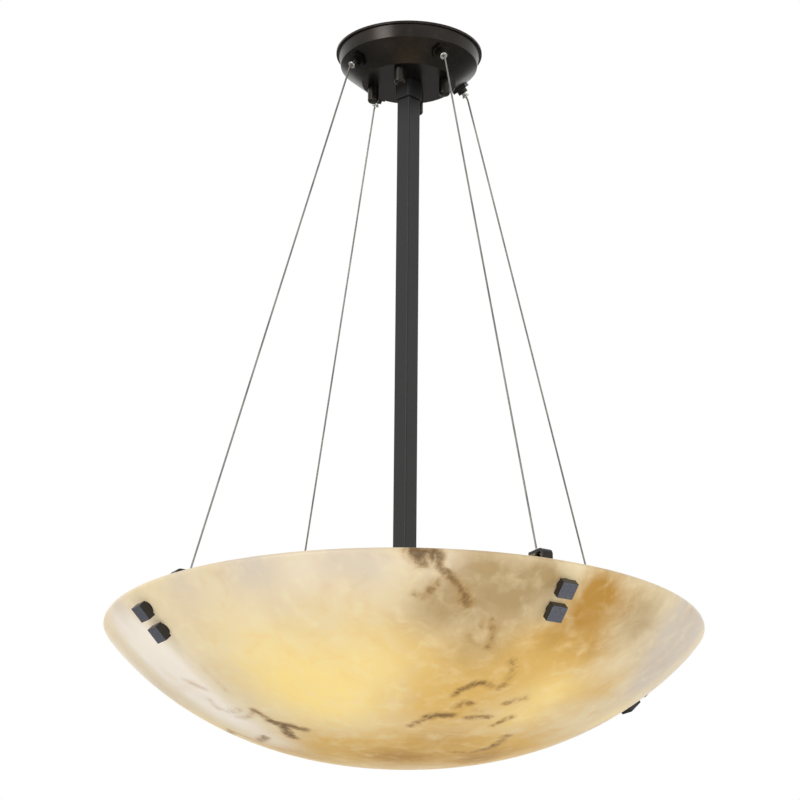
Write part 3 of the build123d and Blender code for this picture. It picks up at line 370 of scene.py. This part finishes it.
# ---------------------------------------------------------------- cables
def route_points(azimuth):
    """The cable's route from its grip's mouth to the ferrule, as points in metres."""
    away = outward(azimuth)
    seat = away * GRIP_SEAT[0] + np.array([0, 0, GRIP_SEAT[1]])
    grip = away * GRIP_NORMAL[0] + np.array([0, 0, GRIP_NORMAL[1]])
    bend = seat + grip * BEND_OUT
    foot = away * FOOT[0] + np.array([0, 0, FOOT[1]])
    down = (foot - bend) / np.linalg.norm(foot - bend)
    end = foot - down * FERRULE_TOP
    corner, settled = (bend + down * reach for reach in PAST_BEND)
    return seat, grip, [seat + grip * SLEEVE_TIP, bend, corner, settled, end]


def smooth_route(points):
    """Points along an open smooth curve through the route's control points."""
    curve = bpy.data.curves.new("route", "CURVE")
    curve.dimensions = "3D"
    curve.resolution_u = 24
    spline = curve.splines.new("NURBS")
    spline.points.add(len(points) - 1)
    for place, point in zip(spline.points, points):
        place.co = (*point, 1)
    spline.order_u = 3
    spline.use_endpoint_u = True
    carrier = bpy.data.objects.new("route", curve)
    bpy.context.scene.collection.objects.link(carrier)
    mesh = bpy.data.meshes.new_from_object(carrier)
    line = np.array([v.co for v in mesh.vertices], float)
    bpy.data.objects.remove(carrier)
    bpy.data.meshes.remove(mesh)
    return line


def wire_rope(name, line, side, body):
    """Six strands twisted round a line: a tube whose radius has six lobes that turn as it runs.

    The radius at angle a and distance s is the rope's radius times
    0.90 + 0.10 * |cos(3 (a - turn * s))|, with one turn in the rope's lay.
    """
    steps = np.linalg.norm(np.diff(line, axis=0), axis=1)
    travel = np.concatenate([[0], np.cumsum(steps)])
    count = int(travel[-1] / ROPE_STEP)
    s = np.linspace(0, travel[-1], count)
    centre = np.stack([np.interp(s, travel, line[:, k]) for k in range(3)], 1)
    tangent = np.gradient(centre, axis=0)
    tangent /= np.linalg.norm(tangent, axis=1)[:, None]
    across = np.cross(tangent, side)
    across /= np.linalg.norm(across, axis=1)[:, None]
    angle = np.linspace(0, 2 * math.pi, 24, endpoint=False)
    turn = (2 * math.pi / ROPE_LAY) * s[:, None]
    radius = CABLE_DIAMETER / 2 * (0.90 + 0.10 * np.abs(np.cos(3 * (angle[None] - turn))))
    rings = (
        centre[:, None]
        + (radius * np.cos(angle))[..., None] * across[:, None]
        + (radius * np.sin(angle))[..., None] * side
    )
    points, faces = closed_rings(rings, centre[0], centre[-1])
    return make_piece(name, points, faces, body)


def make_cables():
    """Four wire ropes from their grips to the bowl's brackets, and their short ends in the canopy."""
    for azimuth, place in zip(CLIP_AZIMUTHS, PLACES):
        side = outward(azimuth + 90)
        seat, grip, points = route_points(azimuth)
        line = smooth_route(points)
        rope = wire_rope(f"cable_run_{place}", line, side, "root")
        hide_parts(f"cable_{place}")
        rope.data.materials.append(MATERIALS["steel_cable"])
        ends = np.stack([seat - grip * TAIL_IN, seat + grip * SLEEVE_TIP])
        tail = wire_rope(f"cable_tail_{place}", ends, side, "root")
        tail.data.materials.append(MATERIALS["steel_cable"])


# ---------------------------------------------------------------- bulbs
def lamp_rings(azimuth, profile, segments=96, thread=None):
    """Rings about a lamp's axis from (distance, radius) pairs.

    thread is (depth, pitch, start, end): between start and end the radius at distance x
    and angle a loses depth * (0.5 + 0.5 cos(2 pi (x - start) / pitch + a)).
    """
    away, side = outward(azimuth), outward(azimuth + 90)
    angle = np.linspace(0, 2 * math.pi, segments, endpoint=False)
    x, r = profile[:, 0][:, None], profile[:, 1][:, None] + 0 * angle
    if thread is not None:
        depth, pitch, start, end = thread
        run_in = 0.002
        inside = np.clip((x - start) / run_in, 0, 1) * np.clip((end - x) / run_in, 0, 1)
        r = r - inside * depth * (0.5 + 0.5 * np.cos(2 * math.pi * (x - start) / pitch + angle[None]))
    rings = x[..., None] * away + (r * np.cos(angle))[..., None] * side
    rings[..., 2] += LAMP_Z + r * np.sin(angle)
    return rings


def lamp_piece(name, number, profile, ends, segments, material, thread=None):
    """A round piece of one bulb from its profile, closed on the axis at the two end distances."""
    azimuth = FIRST_LAMP + LAMP_SPREAD * number
    rings = lamp_rings(azimuth, profile, segments, thread)
    first, last = (outward(azimuth) * x + np.array([0, 0, LAMP_Z]) for x in ends)
    piece = make_piece(f"{name}_{number + 1}", *closed_rings(rings, first, last), f"bulb_{number + 1}")
    piece.data.materials.append(MATERIALS[material])
    return piece


def make_bulb_cap(number):
    """The threaded metal cap: a straight side under its thread, flat in front, turned in at its mouth."""
    start, end = CAP_START, BASE_END
    turned_in = end - 0.001
    rows, centre = 90, 0.0002
    side = np.stack([np.linspace(start, end, rows), np.full(rows, CAP_RADIUS)], 1)
    front = [(start, centre), (start, CAP_FRONT_RADIUS)]
    edge, inner = CAP_MOUTH_RADII
    mouth = [(end, edge), (turned_in, inner), (turned_in, centre)]
    profile = np.concatenate([front, side, mouth])
    thread = (THREAD_DEPTH, THREAD_PITCH, start + 0.001, end - 0.003)
    piece = lamp_piece("bulb_cap", number, profile, (start, turned_in), 72, "bulb_cap", thread)
    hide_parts(f"bulb_base_{number + 1}")


def make_bulb_insulator(number):
    """The dark insulator in front of the cap: a stepped cone from the contact's tip out to the cap's edge."""
    tip, back = INSULATOR_TIP, CAP_START + 0.0002
    profile = np.array([
        (tip, 0.0004), (tip, 0.0036), (tip + 0.0006, 0.0046),
        (BASE_START, 0.0110), (CAP_START, 0.0121), (back, 0.0004),
    ])
    lamp_piece("bulb_insulator", number, profile, (tip, back), 48, "insulator")


def make_bulb_globe(number):
    """The frosted glass: a neck that swells into a half ball.

    With t from 0 to 1 along the swell, the radius goes from neck to ball by 3 t^2 - 2 t^3.
    """
    neck, ball = NECK_RADIUS, GLASS_RADIUS
    tucked_in = BASE_END - 0.003
    shoulder, middle = BASE_END + 0.006, BASE_END + GLASS_LENGTH - ball
    t = np.linspace(0, 1, 40)
    swell = np.stack([shoulder + (middle - shoulder) * t, neck + (ball - neck) * (3 * t**2 - 2 * t**3)], 1)
    a = np.linspace(0, math.pi / 2, 30)[1:-1]
    front = np.stack([middle + ball * np.sin(a), ball * np.cos(a)], 1)
    profile = np.concatenate([[(tucked_in, neck)], swell, front])
    ends = (tucked_in, middle + ball)
    piece = lamp_piece("bulb_globe", number, profile, ends, 96, "frosted_glass")
    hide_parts(f"bulb_glass_{number + 1}")


def make_bulbs():
    """Three frosted bulbs, each with its cap, insulator and glass."""
    for number in range(LAMP_COUNT):
        make_bulb_cap(number)
        make_bulb_insulator(number)
        make_bulb_globe(number)


# ---------------------------------------------------------------- materials
def node(tree, kind, inputs=(), **settings):
    """Adds a node, sets its properties, then its inputs: a value, or another node's output."""
    made = tree.nodes.new(kind)
    for name, value in settings.items():
        setattr(made, name, value)
    for name, value in dict(inputs).items():
        if isinstance(value, bpy.types.NodeSocket):
            tree.links.new(value, made.inputs[name])
        else:
            made.inputs[name].default_value = value
    return made


def math_node(tree, operation, a, b=0.0, clamp=False):
    """A maths node's result."""
    return node(tree, "ShaderNodeMath", {0: a, 1: b}, operation=operation, use_clamp=clamp).outputs[0]


def vector_node(tree, operation, inputs, result="Vector"):
    """A vector maths node's result."""
    return node(tree, "ShaderNodeVectorMath", inputs, operation=operation).outputs[result]


def mixed(tree, factor, a, b):
    """The colour between a and b."""
    made = tree.nodes.new("ShaderNodeMix")
    made.data_type = "RGBA"
    for name, value in ((0, factor), (6, a), (7, b)):
        if isinstance(value, bpy.types.NodeSocket):
            tree.links.new(value, made.inputs[name])
        else:
            made.inputs[name].default_value = value
    return made.outputs[2]


def ranged(tree, value, low, high, to_low=0.0, to_high=1.0, kind="SMOOTHSTEP"):
    """A value's place between low and high, mapped onto another range."""
    made = node(
        tree, "ShaderNodeMapRange",
        {"Value": value, "From Min": low, "From Max": high, "To Min": to_low, "To Max": to_high},
        interpolation_type=kind,
    )
    return made.outputs[0]


def noise(tree, place, scale, detail=4.0, roughness=0.55, distortion=0.0):
    """A noise texture's value."""
    made = node(
        tree, "ShaderNodeTexNoise",
        {"Vector": place, "Scale": scale, "Detail": detail, "Roughness": roughness, "Distortion": distortion},
    )
    return made.outputs[0]


def mapped(tree, place, scale, rotation=(0.0, 0.0, 0.0)):
    """Coordinates turned and stretched."""
    settings = {"Vector": place, "Rotation": rotation, "Scale": scale}
    return node(tree, "ShaderNodeMapping", settings).outputs[0]


def roughened(tree, shader, height, strength, distance):
    """Bumps the shader's surface by a height."""
    bump = node(tree, "ShaderNodeBump", {"Height": height, "Strength": strength, "Distance": distance})
    tree.links.new(bump.outputs[0], shader.inputs["Normal"])


def rgb(red, green, blue):
    """A colour from display values of 0 to 255, by the sRGB curve."""
    shares = [value / 255 for value in (red, green, blue)]
    linear = [c / 12.92 if c <= 0.04045 else ((c + 0.055) / 1.055) ** 2.4 for c in shares]
    return (*linear, 1.0)


def new_group(name, inputs, outputs):
    """An empty shader group with float inputs (name, default) and outputs (name, kind)."""
    tree = bpy.data.node_groups.new(name, "ShaderNodeTree")
    for label, default in inputs:
        socket = tree.interface.new_socket(name=label, in_out="INPUT", socket_type="NodeSocketFloat")
        socket.default_value = default
    for label, kind in outputs:
        tree.interface.new_socket(name=label, in_out="OUTPUT", socket_type=kind)
    return tree, tree.nodes.new("NodeGroupInput"), tree.nodes.new("NodeGroupOutput")


def finish_group():
    """Wear on a hard surface: cloudy tone, fine scratches and dust, from the object's own coordinates."""
    outputs = [(label, "NodeSocketFloat") for label in ("Tone", "Rough", "Height", "Dust")]
    tree, inside, out = new_group("surface_wear", [("Grain", 900.0), ("Scratches", 0.5)], outputs)
    place = node(tree, "ShaderNodeTexCoord").outputs["Object"]
    cloud = noise(tree, place, 28.0, 5.0, 0.6, 0.4)
    grain = noise(tree, place, inside.outputs["Grain"], 3.0, 0.6)
    turned = mapped(tree, place, (60.0, 60.0, 1400.0), (0.5, 0.3, 0.9))
    other = mapped(tree, place, (1300.0, 50.0, 50.0), (1.2, -0.7, 0.2))
    one = ranged(tree, noise(tree, turned, 1.0, 2.0), 0.66, 0.72)
    two = ranged(tree, noise(tree, other, 1.0, 2.0), 0.67, 0.73)
    scratch = math_node(tree, "MULTIPLY", math_node(tree, "MAXIMUM", one, two), inside.outputs["Scratches"])
    dust = ranged(tree, noise(tree, place, 140.0, 6.0, 0.7), 0.52, 0.74)
    slow, quick = math_node(tree, "MULTIPLY", cloud, 0.6), math_node(tree, "MULTIPLY", grain, 0.4)
    rough = math_node(tree, "ADD", slow, quick)
    height = math_node(tree, "SUBTRACT", grain, math_node(tree, "MULTIPLY", scratch, 0.8))
    for label, value in (("Tone", cloud), ("Rough", rough), ("Height", height), ("Dust", dust)):
        tree.links.new(value, out.inputs[label])
    return tree


def new_material(name):
    """A material with its shader and output."""
    material = bpy.data.materials.new(name)
    material.use_nodes = True
    tree = material.node_tree
    tree.nodes.clear()
    shader = tree.nodes.new("ShaderNodeBsdfPrincipled")
    end = tree.nodes.new("ShaderNodeOutputMaterial")
    tree.links.new(shader.outputs[0], end.inputs[0])
    return material, tree, shader


def hard_material(name, dark, light, metal, rough, grain=900.0, scratches=0.4, bump=0.04, dust=0.0, coat=0.0):
    """Metal, paint, rubber or plastic: two close colours, uneven gloss, fine grain and scratches."""
    material, tree, shader = new_material(name)
    wear = node(tree, "ShaderNodeGroup", node_tree=WEAR)
    wear.inputs["Grain"].default_value = grain
    wear.inputs["Scratches"].default_value = scratches
    colour = mixed(tree, ranged(tree, wear.outputs["Tone"], 0.3, 0.7), dark, light)
    if dust > 0:
        veil = math_node(tree, "MULTIPLY", wear.outputs["Dust"], dust)
        colour = mixed(tree, veil, colour, rgb(150, 140, 125))
    tree.links.new(colour, shader.inputs["Base Color"])
    gloss = ranged(tree, wear.outputs["Rough"], 0.25, 0.75, *rough, "LINEAR")
    tree.links.new(gloss, shader.inputs["Roughness"])
    shader.inputs["Metallic"].default_value = metal
    shader.inputs["Coat Weight"].default_value = coat
    shader.inputs["Coat Roughness"].default_value = 0.2
    roughened(tree, shader, wear.outputs["Height"], bump, 0.0004)
    return material


def stone_material():
    """Polished alabaster with a painted glow standing in for the bulbs' light shining through it: cream
    clouds, fields of colour with a painted pool of light and painted shade among them, brown veins with
    ragged edges.
    """
    material, tree, shader = new_material("alabaster")
    place = node(tree, "ShaderNodeTexCoord").outputs["Object"]
    field = {
        name: node(tree, "ShaderNodeAttribute", attribute_name=name).outputs["Fac"]
        for name in ("vein", "gold", "ochre", "dim", "glow", "pale", "ash")
    }
    broad = noise(tree, place, 9.0, 5.0, 0.55, 0.6)
    cloud = noise(tree, place, 26.0, 8.0, 0.62, 0.9)
    mottle = noise(tree, place, 60.0, 4.0, 0.5, 0.3)
    fine = noise(tree, place, 240.0, 5.0, 0.6, 0.2)
    wisp = noise(tree, place, 70.0, 8.0, 0.66, 1.2)

    def spread(mask, amount):
        """A mask with its edge broken up by the clouds."""
        jitter = math_node(tree, "MULTIPLY", math_node(tree, "SUBTRACT", cloud, 0.5), amount)
        faded = math_node(tree, "MULTIPLY", jitter, ranged(tree, mask, 0.0, 0.3))
        return math_node(tree, "ADD", mask, faded, clamp=True)

    colour = mixed(tree, ranged(tree, broad, 0.35, 0.65), *STONE_BASE)
    # These fields of colour include painted light and shade: glow, a painted pool of the bulbs' light, and
    # dim, with a painted bracket shadow.
    for name, tone, ragged in STONE_TONES:
        colour = mixed(tree, spread(field[name], ragged), colour, tone)
    colour = mixed(tree, ranged(tree, cloud, 0.48, 0.78, 0.0, 0.26), colour, rgb(196, 158, 96))
    colour = mixed(tree, ranged(tree, mottle, 0.46, 0.80, 0.0, 0.26), colour, rgb(250, 232, 190))
    ragged = math_node(tree, "MULTIPLY", math_node(tree, "SUBTRACT", wisp, 0.5), 1.5)
    edge = math_node(tree, "MULTIPLY", math_node(tree, "SUBTRACT", fine, 0.5), 0.5)
    near = ranged(tree, field["vein"], 0.0, 0.5)
    broken = math_node(tree, "MULTIPLY", math_node(tree, "ADD", ragged, edge), near)
    vein = math_node(tree, "ADD", field["vein"], broken)
    colour = mixed(tree, ranged(tree, vein, 0.05, 0.75, 0.0, 0.55), colour, rgb(160, 118, 58))
    colour = mixed(tree, ranged(tree, vein, 0.42, 1.12, 0.0, 0.88), colour, rgb(92, 68, 36))
    tree.links.new(colour, shader.inputs["Base Color"])
    # The stone's colour also glows: painted light standing in for the bulbs' light shining through the stone,
    # which is no lamp of its own.
    tree.links.new(colour, shader.inputs["Emission Color"])
    shader.inputs["Emission Strength"].default_value = PAINTED_STONE_GLOW
    tree.links.new(ranged(tree, fine, 0.3, 0.7, 0.30, 0.42, "LINEAR"), shader.inputs["Roughness"])
    shader.inputs["Specular IOR Level"].default_value = 0.3
    roughened(tree, shader, fine, 0.03, 0.0006)
    return material


def finial_material():
    """Square finials: black sides, and an outer face of brushed gunmetal with fine upright lines."""
    material, tree, shader = new_material("dark_finial")
    coordinates = node(tree, "ShaderNodeTexCoord")
    place = coordinates.outputs["Object"]
    level = vector_node(tree, "MULTIPLY", {0: place, 1: (1, 1, 0)})
    radial = vector_node(tree, "NORMALIZE", {0: level})
    sideways = vector_node(tree, "SCALE", {0: radial, "Scale": WALL_OUT[0]})
    out = vector_node(tree, "ADD", {0: sideways, 1: (0, 0, WALL_OUT[1])})
    facing = vector_node(tree, "DOT_PRODUCT", {0: coordinates.outputs["Normal"], 1: out}, "Value")
    face = ranged(tree, facing, 0.80, 0.96)
    lines = mapped(tree, place, (1700.0, 1700.0, 90.0))
    brushed = noise(tree, lines, 1.0, 3.0, 0.6)
    cloud = noise(tree, place, 160.0, 4.0, 0.6)
    black = mixed(tree, ranged(tree, cloud, 0.35, 0.65), rgb(13, 13, 15), rgb(24, 24, 28))
    metal = mixed(tree, ranged(tree, brushed, 0.35, 0.65), rgb(104, 106, 116), rgb(152, 154, 164))
    tree.links.new(mixed(tree, face, black, metal), shader.inputs["Base Color"])
    tree.links.new(math_node(tree, "MULTIPLY", face, 0.9), shader.inputs["Metallic"])
    tree.links.new(ranged(tree, brushed, 0.3, 0.7, 0.28, 0.44, "LINEAR"), shader.inputs["Roughness"])
    roughened(tree, shader, brushed, 0.08, 0.0003)
    return material


def glass_material():
    """Frosted lit glass with a faint cloud in its coating."""
    material, tree, shader = new_material("frosted_glass")
    place = node(tree, "ShaderNodeTexCoord").outputs["Object"]
    cloud = noise(tree, place, 45.0, 5.0, 0.6, 0.3)
    colour = mixed(tree, ranged(tree, cloud, 0.35, 0.65), rgb(236, 228, 208), rgb(246, 240, 226))
    tree.links.new(colour, shader.inputs["Base Color"])
    warm = mixed(tree, ranged(tree, cloud, 0.35, 0.65), (1.0, 0.80, 0.50, 1), (1.0, 0.86, 0.60, 1))
    tree.links.new(warm, shader.inputs["Emission Color"])
    shader.inputs["Emission Strength"].default_value = 0.45
    tree.links.new(ranged(tree, cloud, 0.3, 0.7, 0.28, 0.42, "LINEAR"), shader.inputs["Roughness"])
    roughened(tree, shader, noise(tree, place, 1500.0, 3.0), 0.05, 0.0003)
    return material


# Strength of the stone's painted glow, which stands in for the bulbs' light shining through it.
PAINTED_STONE_GLOW = 0.40
STONE_BASE = (rgb(220, 201, 164), rgb(228, 210, 172))
STONE_TONES = (      # field, colour, how ragged its edge is
    ("gold", rgb(214, 174, 96), 1.1),
    ("ochre", rgb(180, 134, 58), 1.2),
    # dim: the colour of the darker patches and of the painted bracket shadow
    ("dim", rgb(172, 145, 102), 0.9),
    # glow: the colour of the painted pool of the bulbs' light
    ("glow", rgb(248, 219, 140), 1.0),
    ("pale", rgb(246, 236, 222), 0.5),
    ("ash", rgb(206, 193, 176), 0.4),
)
HARD_FINISHES = {
    "dark_bronze": dict(
        dark=rgb(36, 32, 28), light=rgb(50, 45, 40), metal=0.85, rough=(0.24, 0.40),
        grain=1100, scratches=0.35, bump=0.05, dust=0.04, coat=0.15,
    ),
    "black_paint": dict(
        dark=rgb(10, 10, 10), light=rgb(18, 18, 18), metal=0.0, rough=(0.40, 0.56),
        grain=1300, scratches=0.35, bump=0.06, dust=0.02,
    ),
    "zinc_steel": dict(
        dark=rgb(150, 152, 156), light=rgb(182, 184, 188), metal=1.0, rough=(0.28, 0.46),
        grain=1000, scratches=0.6, bump=0.05,
    ),
    "green_screw": dict(
        dark=rgb(26, 104, 52), light=rgb(36, 128, 66), metal=0.2, rough=(0.30, 0.44),
        grain=1000, scratches=0.4, bump=0.05,
    ),
    "brass": dict(
        dark=rgb(176, 140, 66), light=rgb(206, 170, 92), metal=1.0, rough=(0.22, 0.38),
        grain=1000, scratches=0.5, bump=0.05,
    ),
    "bright_nickel": dict(
        dark=rgb(190, 188, 184), light=rgb(214, 212, 208), metal=1.0, rough=(0.12, 0.24),
        grain=1200, scratches=0.5, bump=0.03,
    ),
    "steel_cable": dict(
        dark=rgb(112, 110, 106), light=rgb(150, 147, 142), metal=1.0, rough=(0.26, 0.42),
        grain=1800, scratches=0.6, bump=0.05,
    ),
    "black_sheath": dict(
        dark=rgb(20, 20, 20), light=rgb(30, 30, 30), metal=0.0, rough=(0.50, 0.66),
        grain=1600, scratches=0.2, bump=0.10,
    ),
    "connector_plastic": dict(
        dark=rgb(196, 92, 30), light=rgb(214, 112, 44), metal=0.0, rough=(0.40, 0.55),
        grain=900, scratches=0.3, bump=0.06,
    ),
    "rubber_pad": dict(
        dark=rgb(28, 28, 28), light=rgb(40, 40, 40), metal=0.0, rough=(0.65, 0.82),
        grain=1400, scratches=0.15, bump=0.12, dust=0.08,
    ),
    "porcelain": dict(
        dark=rgb(228, 224, 214), light=rgb(238, 235, 228), metal=0.0, rough=(0.12, 0.22),
        grain=600, scratches=0.1, bump=0.02, coat=0.4,
    ),
    "bulb_cap": dict(
        dark=rgb(168, 168, 172), light=rgb(196, 196, 200), metal=1.0, rough=(0.26, 0.40),
        grain=1100, scratches=0.6, bump=0.05,
    ),
    "insulator": dict(
        dark=rgb(18, 18, 20), light=rgb(30, 30, 34), metal=0.0, rough=(0.15, 0.28),
        grain=700, scratches=0.2, bump=0.03, coat=0.5,
    ),
}
WEAR = finish_group()
MATERIALS = {name: hard_material(name, **finish) for name, finish in HARD_FINISHES.items()}
MATERIALS["alabaster"] = stone_material()
MATERIALS["frosted_glass"] = glass_material()
MATERIALS["dark_finial"] = finial_material()

slots = {part["node"]: part["material_slot"] for part in frame["record"]["subparts"]}
for name, piece in nodes.items():
    piece.data.materials.clear()
    piece.data.materials.append(MATERIALS[slots[name]])

stone = make_bowl()
mark_stone(stone)
stone.data.materials.append(MATERIALS["alabaster"])
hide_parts("bowl")
make_cables()
make_bulbs()


# ---------------------------------------------------------------- floor, light and camera
def soft_lamp(name, place, target, size, power, glints=True):
    """A square soft light that faces a point; without glints it leaves no highlights."""
    light = bpy.data.lights.new(name, "AREA")
    light.size = size
    light.energy = power
    lamp = bpy.data.objects.new(name, light)
    lamp.visible_glossy = glints
    lamp.location = place
    lamp.rotation_mode = "QUATERNION"
    lamp.rotation_quaternion = (Vector(target) - Vector(place)).to_track_quat("-Z", "Y")
    bpy.context.scene.collection.objects.link(lamp)


def make_floor():
    """A pale level floor well below the light, brightened for the camera alone."""
    size, z = 40.0, -2.6
    mesh = bpy.data.meshes.new("floor")
    corners = [(-size, -size, z), (size, -size, z), (size, size, z), (-size, size, z)]
    mesh.from_pydata(corners, [], [(0, 1, 2, 3)])
    floor = bpy.data.objects.new("floor", mesh)
    bpy.context.scene.collection.objects.link(floor)
    material, tree, shader = new_material("floor")
    pale = (0.78, 0.78, 0.77, 1)
    shader.inputs["Base Color"].default_value = pale
    shader.inputs["Roughness"].default_value = 0.9
    shader.inputs["Emission Color"].default_value = pale
    path = tree.nodes.new("ShaderNodeLightPath")
    lift = math_node(tree, "MULTIPLY", path.outputs["Is Camera Ray"], 0.45)
    tree.links.new(lift, shader.inputs["Emission Strength"])
    mesh.materials.append(material)


def make_backdrop():
    """An even white backdrop for the camera and for reflections, and a softer grey one as light."""
    world = bpy.data.worlds.new("backdrop")
    bpy.context.scene.world = world
    world.use_nodes = True
    tree = world.node_tree
    tree.nodes.clear()
    path = tree.nodes.new("ShaderNodeLightPath")
    light = node(tree, "ShaderNodeBackground", {"Color": (1, 1, 1, 1), "Strength": 0.32})
    seen = node(tree, "ShaderNodeBackground", {"Color": (1, 1, 1, 1), "Strength": 1.0})
    mix = tree.nodes.new("ShaderNodeMixShader")
    shown = math_node(tree, "MAXIMUM", path.outputs["Is Camera Ray"], path.outputs["Is Transmission Ray"])
    tree.links.new(math_node(tree, "MAXIMUM", shown, path.outputs["Is Glossy Ray"]), mix.inputs[0])
    tree.links.new(light.outputs[0], mix.inputs[1])
    tree.links.new(seen.outputs[0], mix.inputs[2])
    end = tree.nodes.new("ShaderNodeOutputWorld")
    tree.links.new(mix.outputs[0], end.inputs[0])


def make_camera():
    """The photograph's own viewpoint and field of view."""
    right, up, ahead = camera_axes()
    camera = bpy.data.cameras.new("camera")
    camera.sensor_width = 36.0
    camera.lens = camera.sensor_width * FOCAL_PIXELS / PHOTO_SIDE
    camera.clip_start, camera.clip_end = 0.1, 60.0
    holder = bpy.data.objects.new("camera", camera)
    turn = Matrix((right, up, -ahead)).transposed().to_4x4()
    holder.matrix_world = Matrix.Translation(CAMERA_PLACE) @ turn
    bpy.context.scene.collection.objects.link(holder)
    bpy.context.scene.camera = holder


make_floor()
make_backdrop()
make_camera()
soft_lamp("key", (-2.4, -2.8, 0.6), (0, 0, -0.5), 1.6, 46.0)
soft_lamp("fill", (2.8, -2.2, -1.2), (0, 0, -0.6), 1.8, 22.0)
soft_lamp("under", (0.2, -1.6, -2.5), (0, 0, -0.7), 1.6, 16.0)
soft_lamp("back", (0.6, 2.6, 0.4), (0, 0, -0.3), 1.4, 26.0, glints=False)
bpy.context.scene.view_settings.view_transform = "Standard"
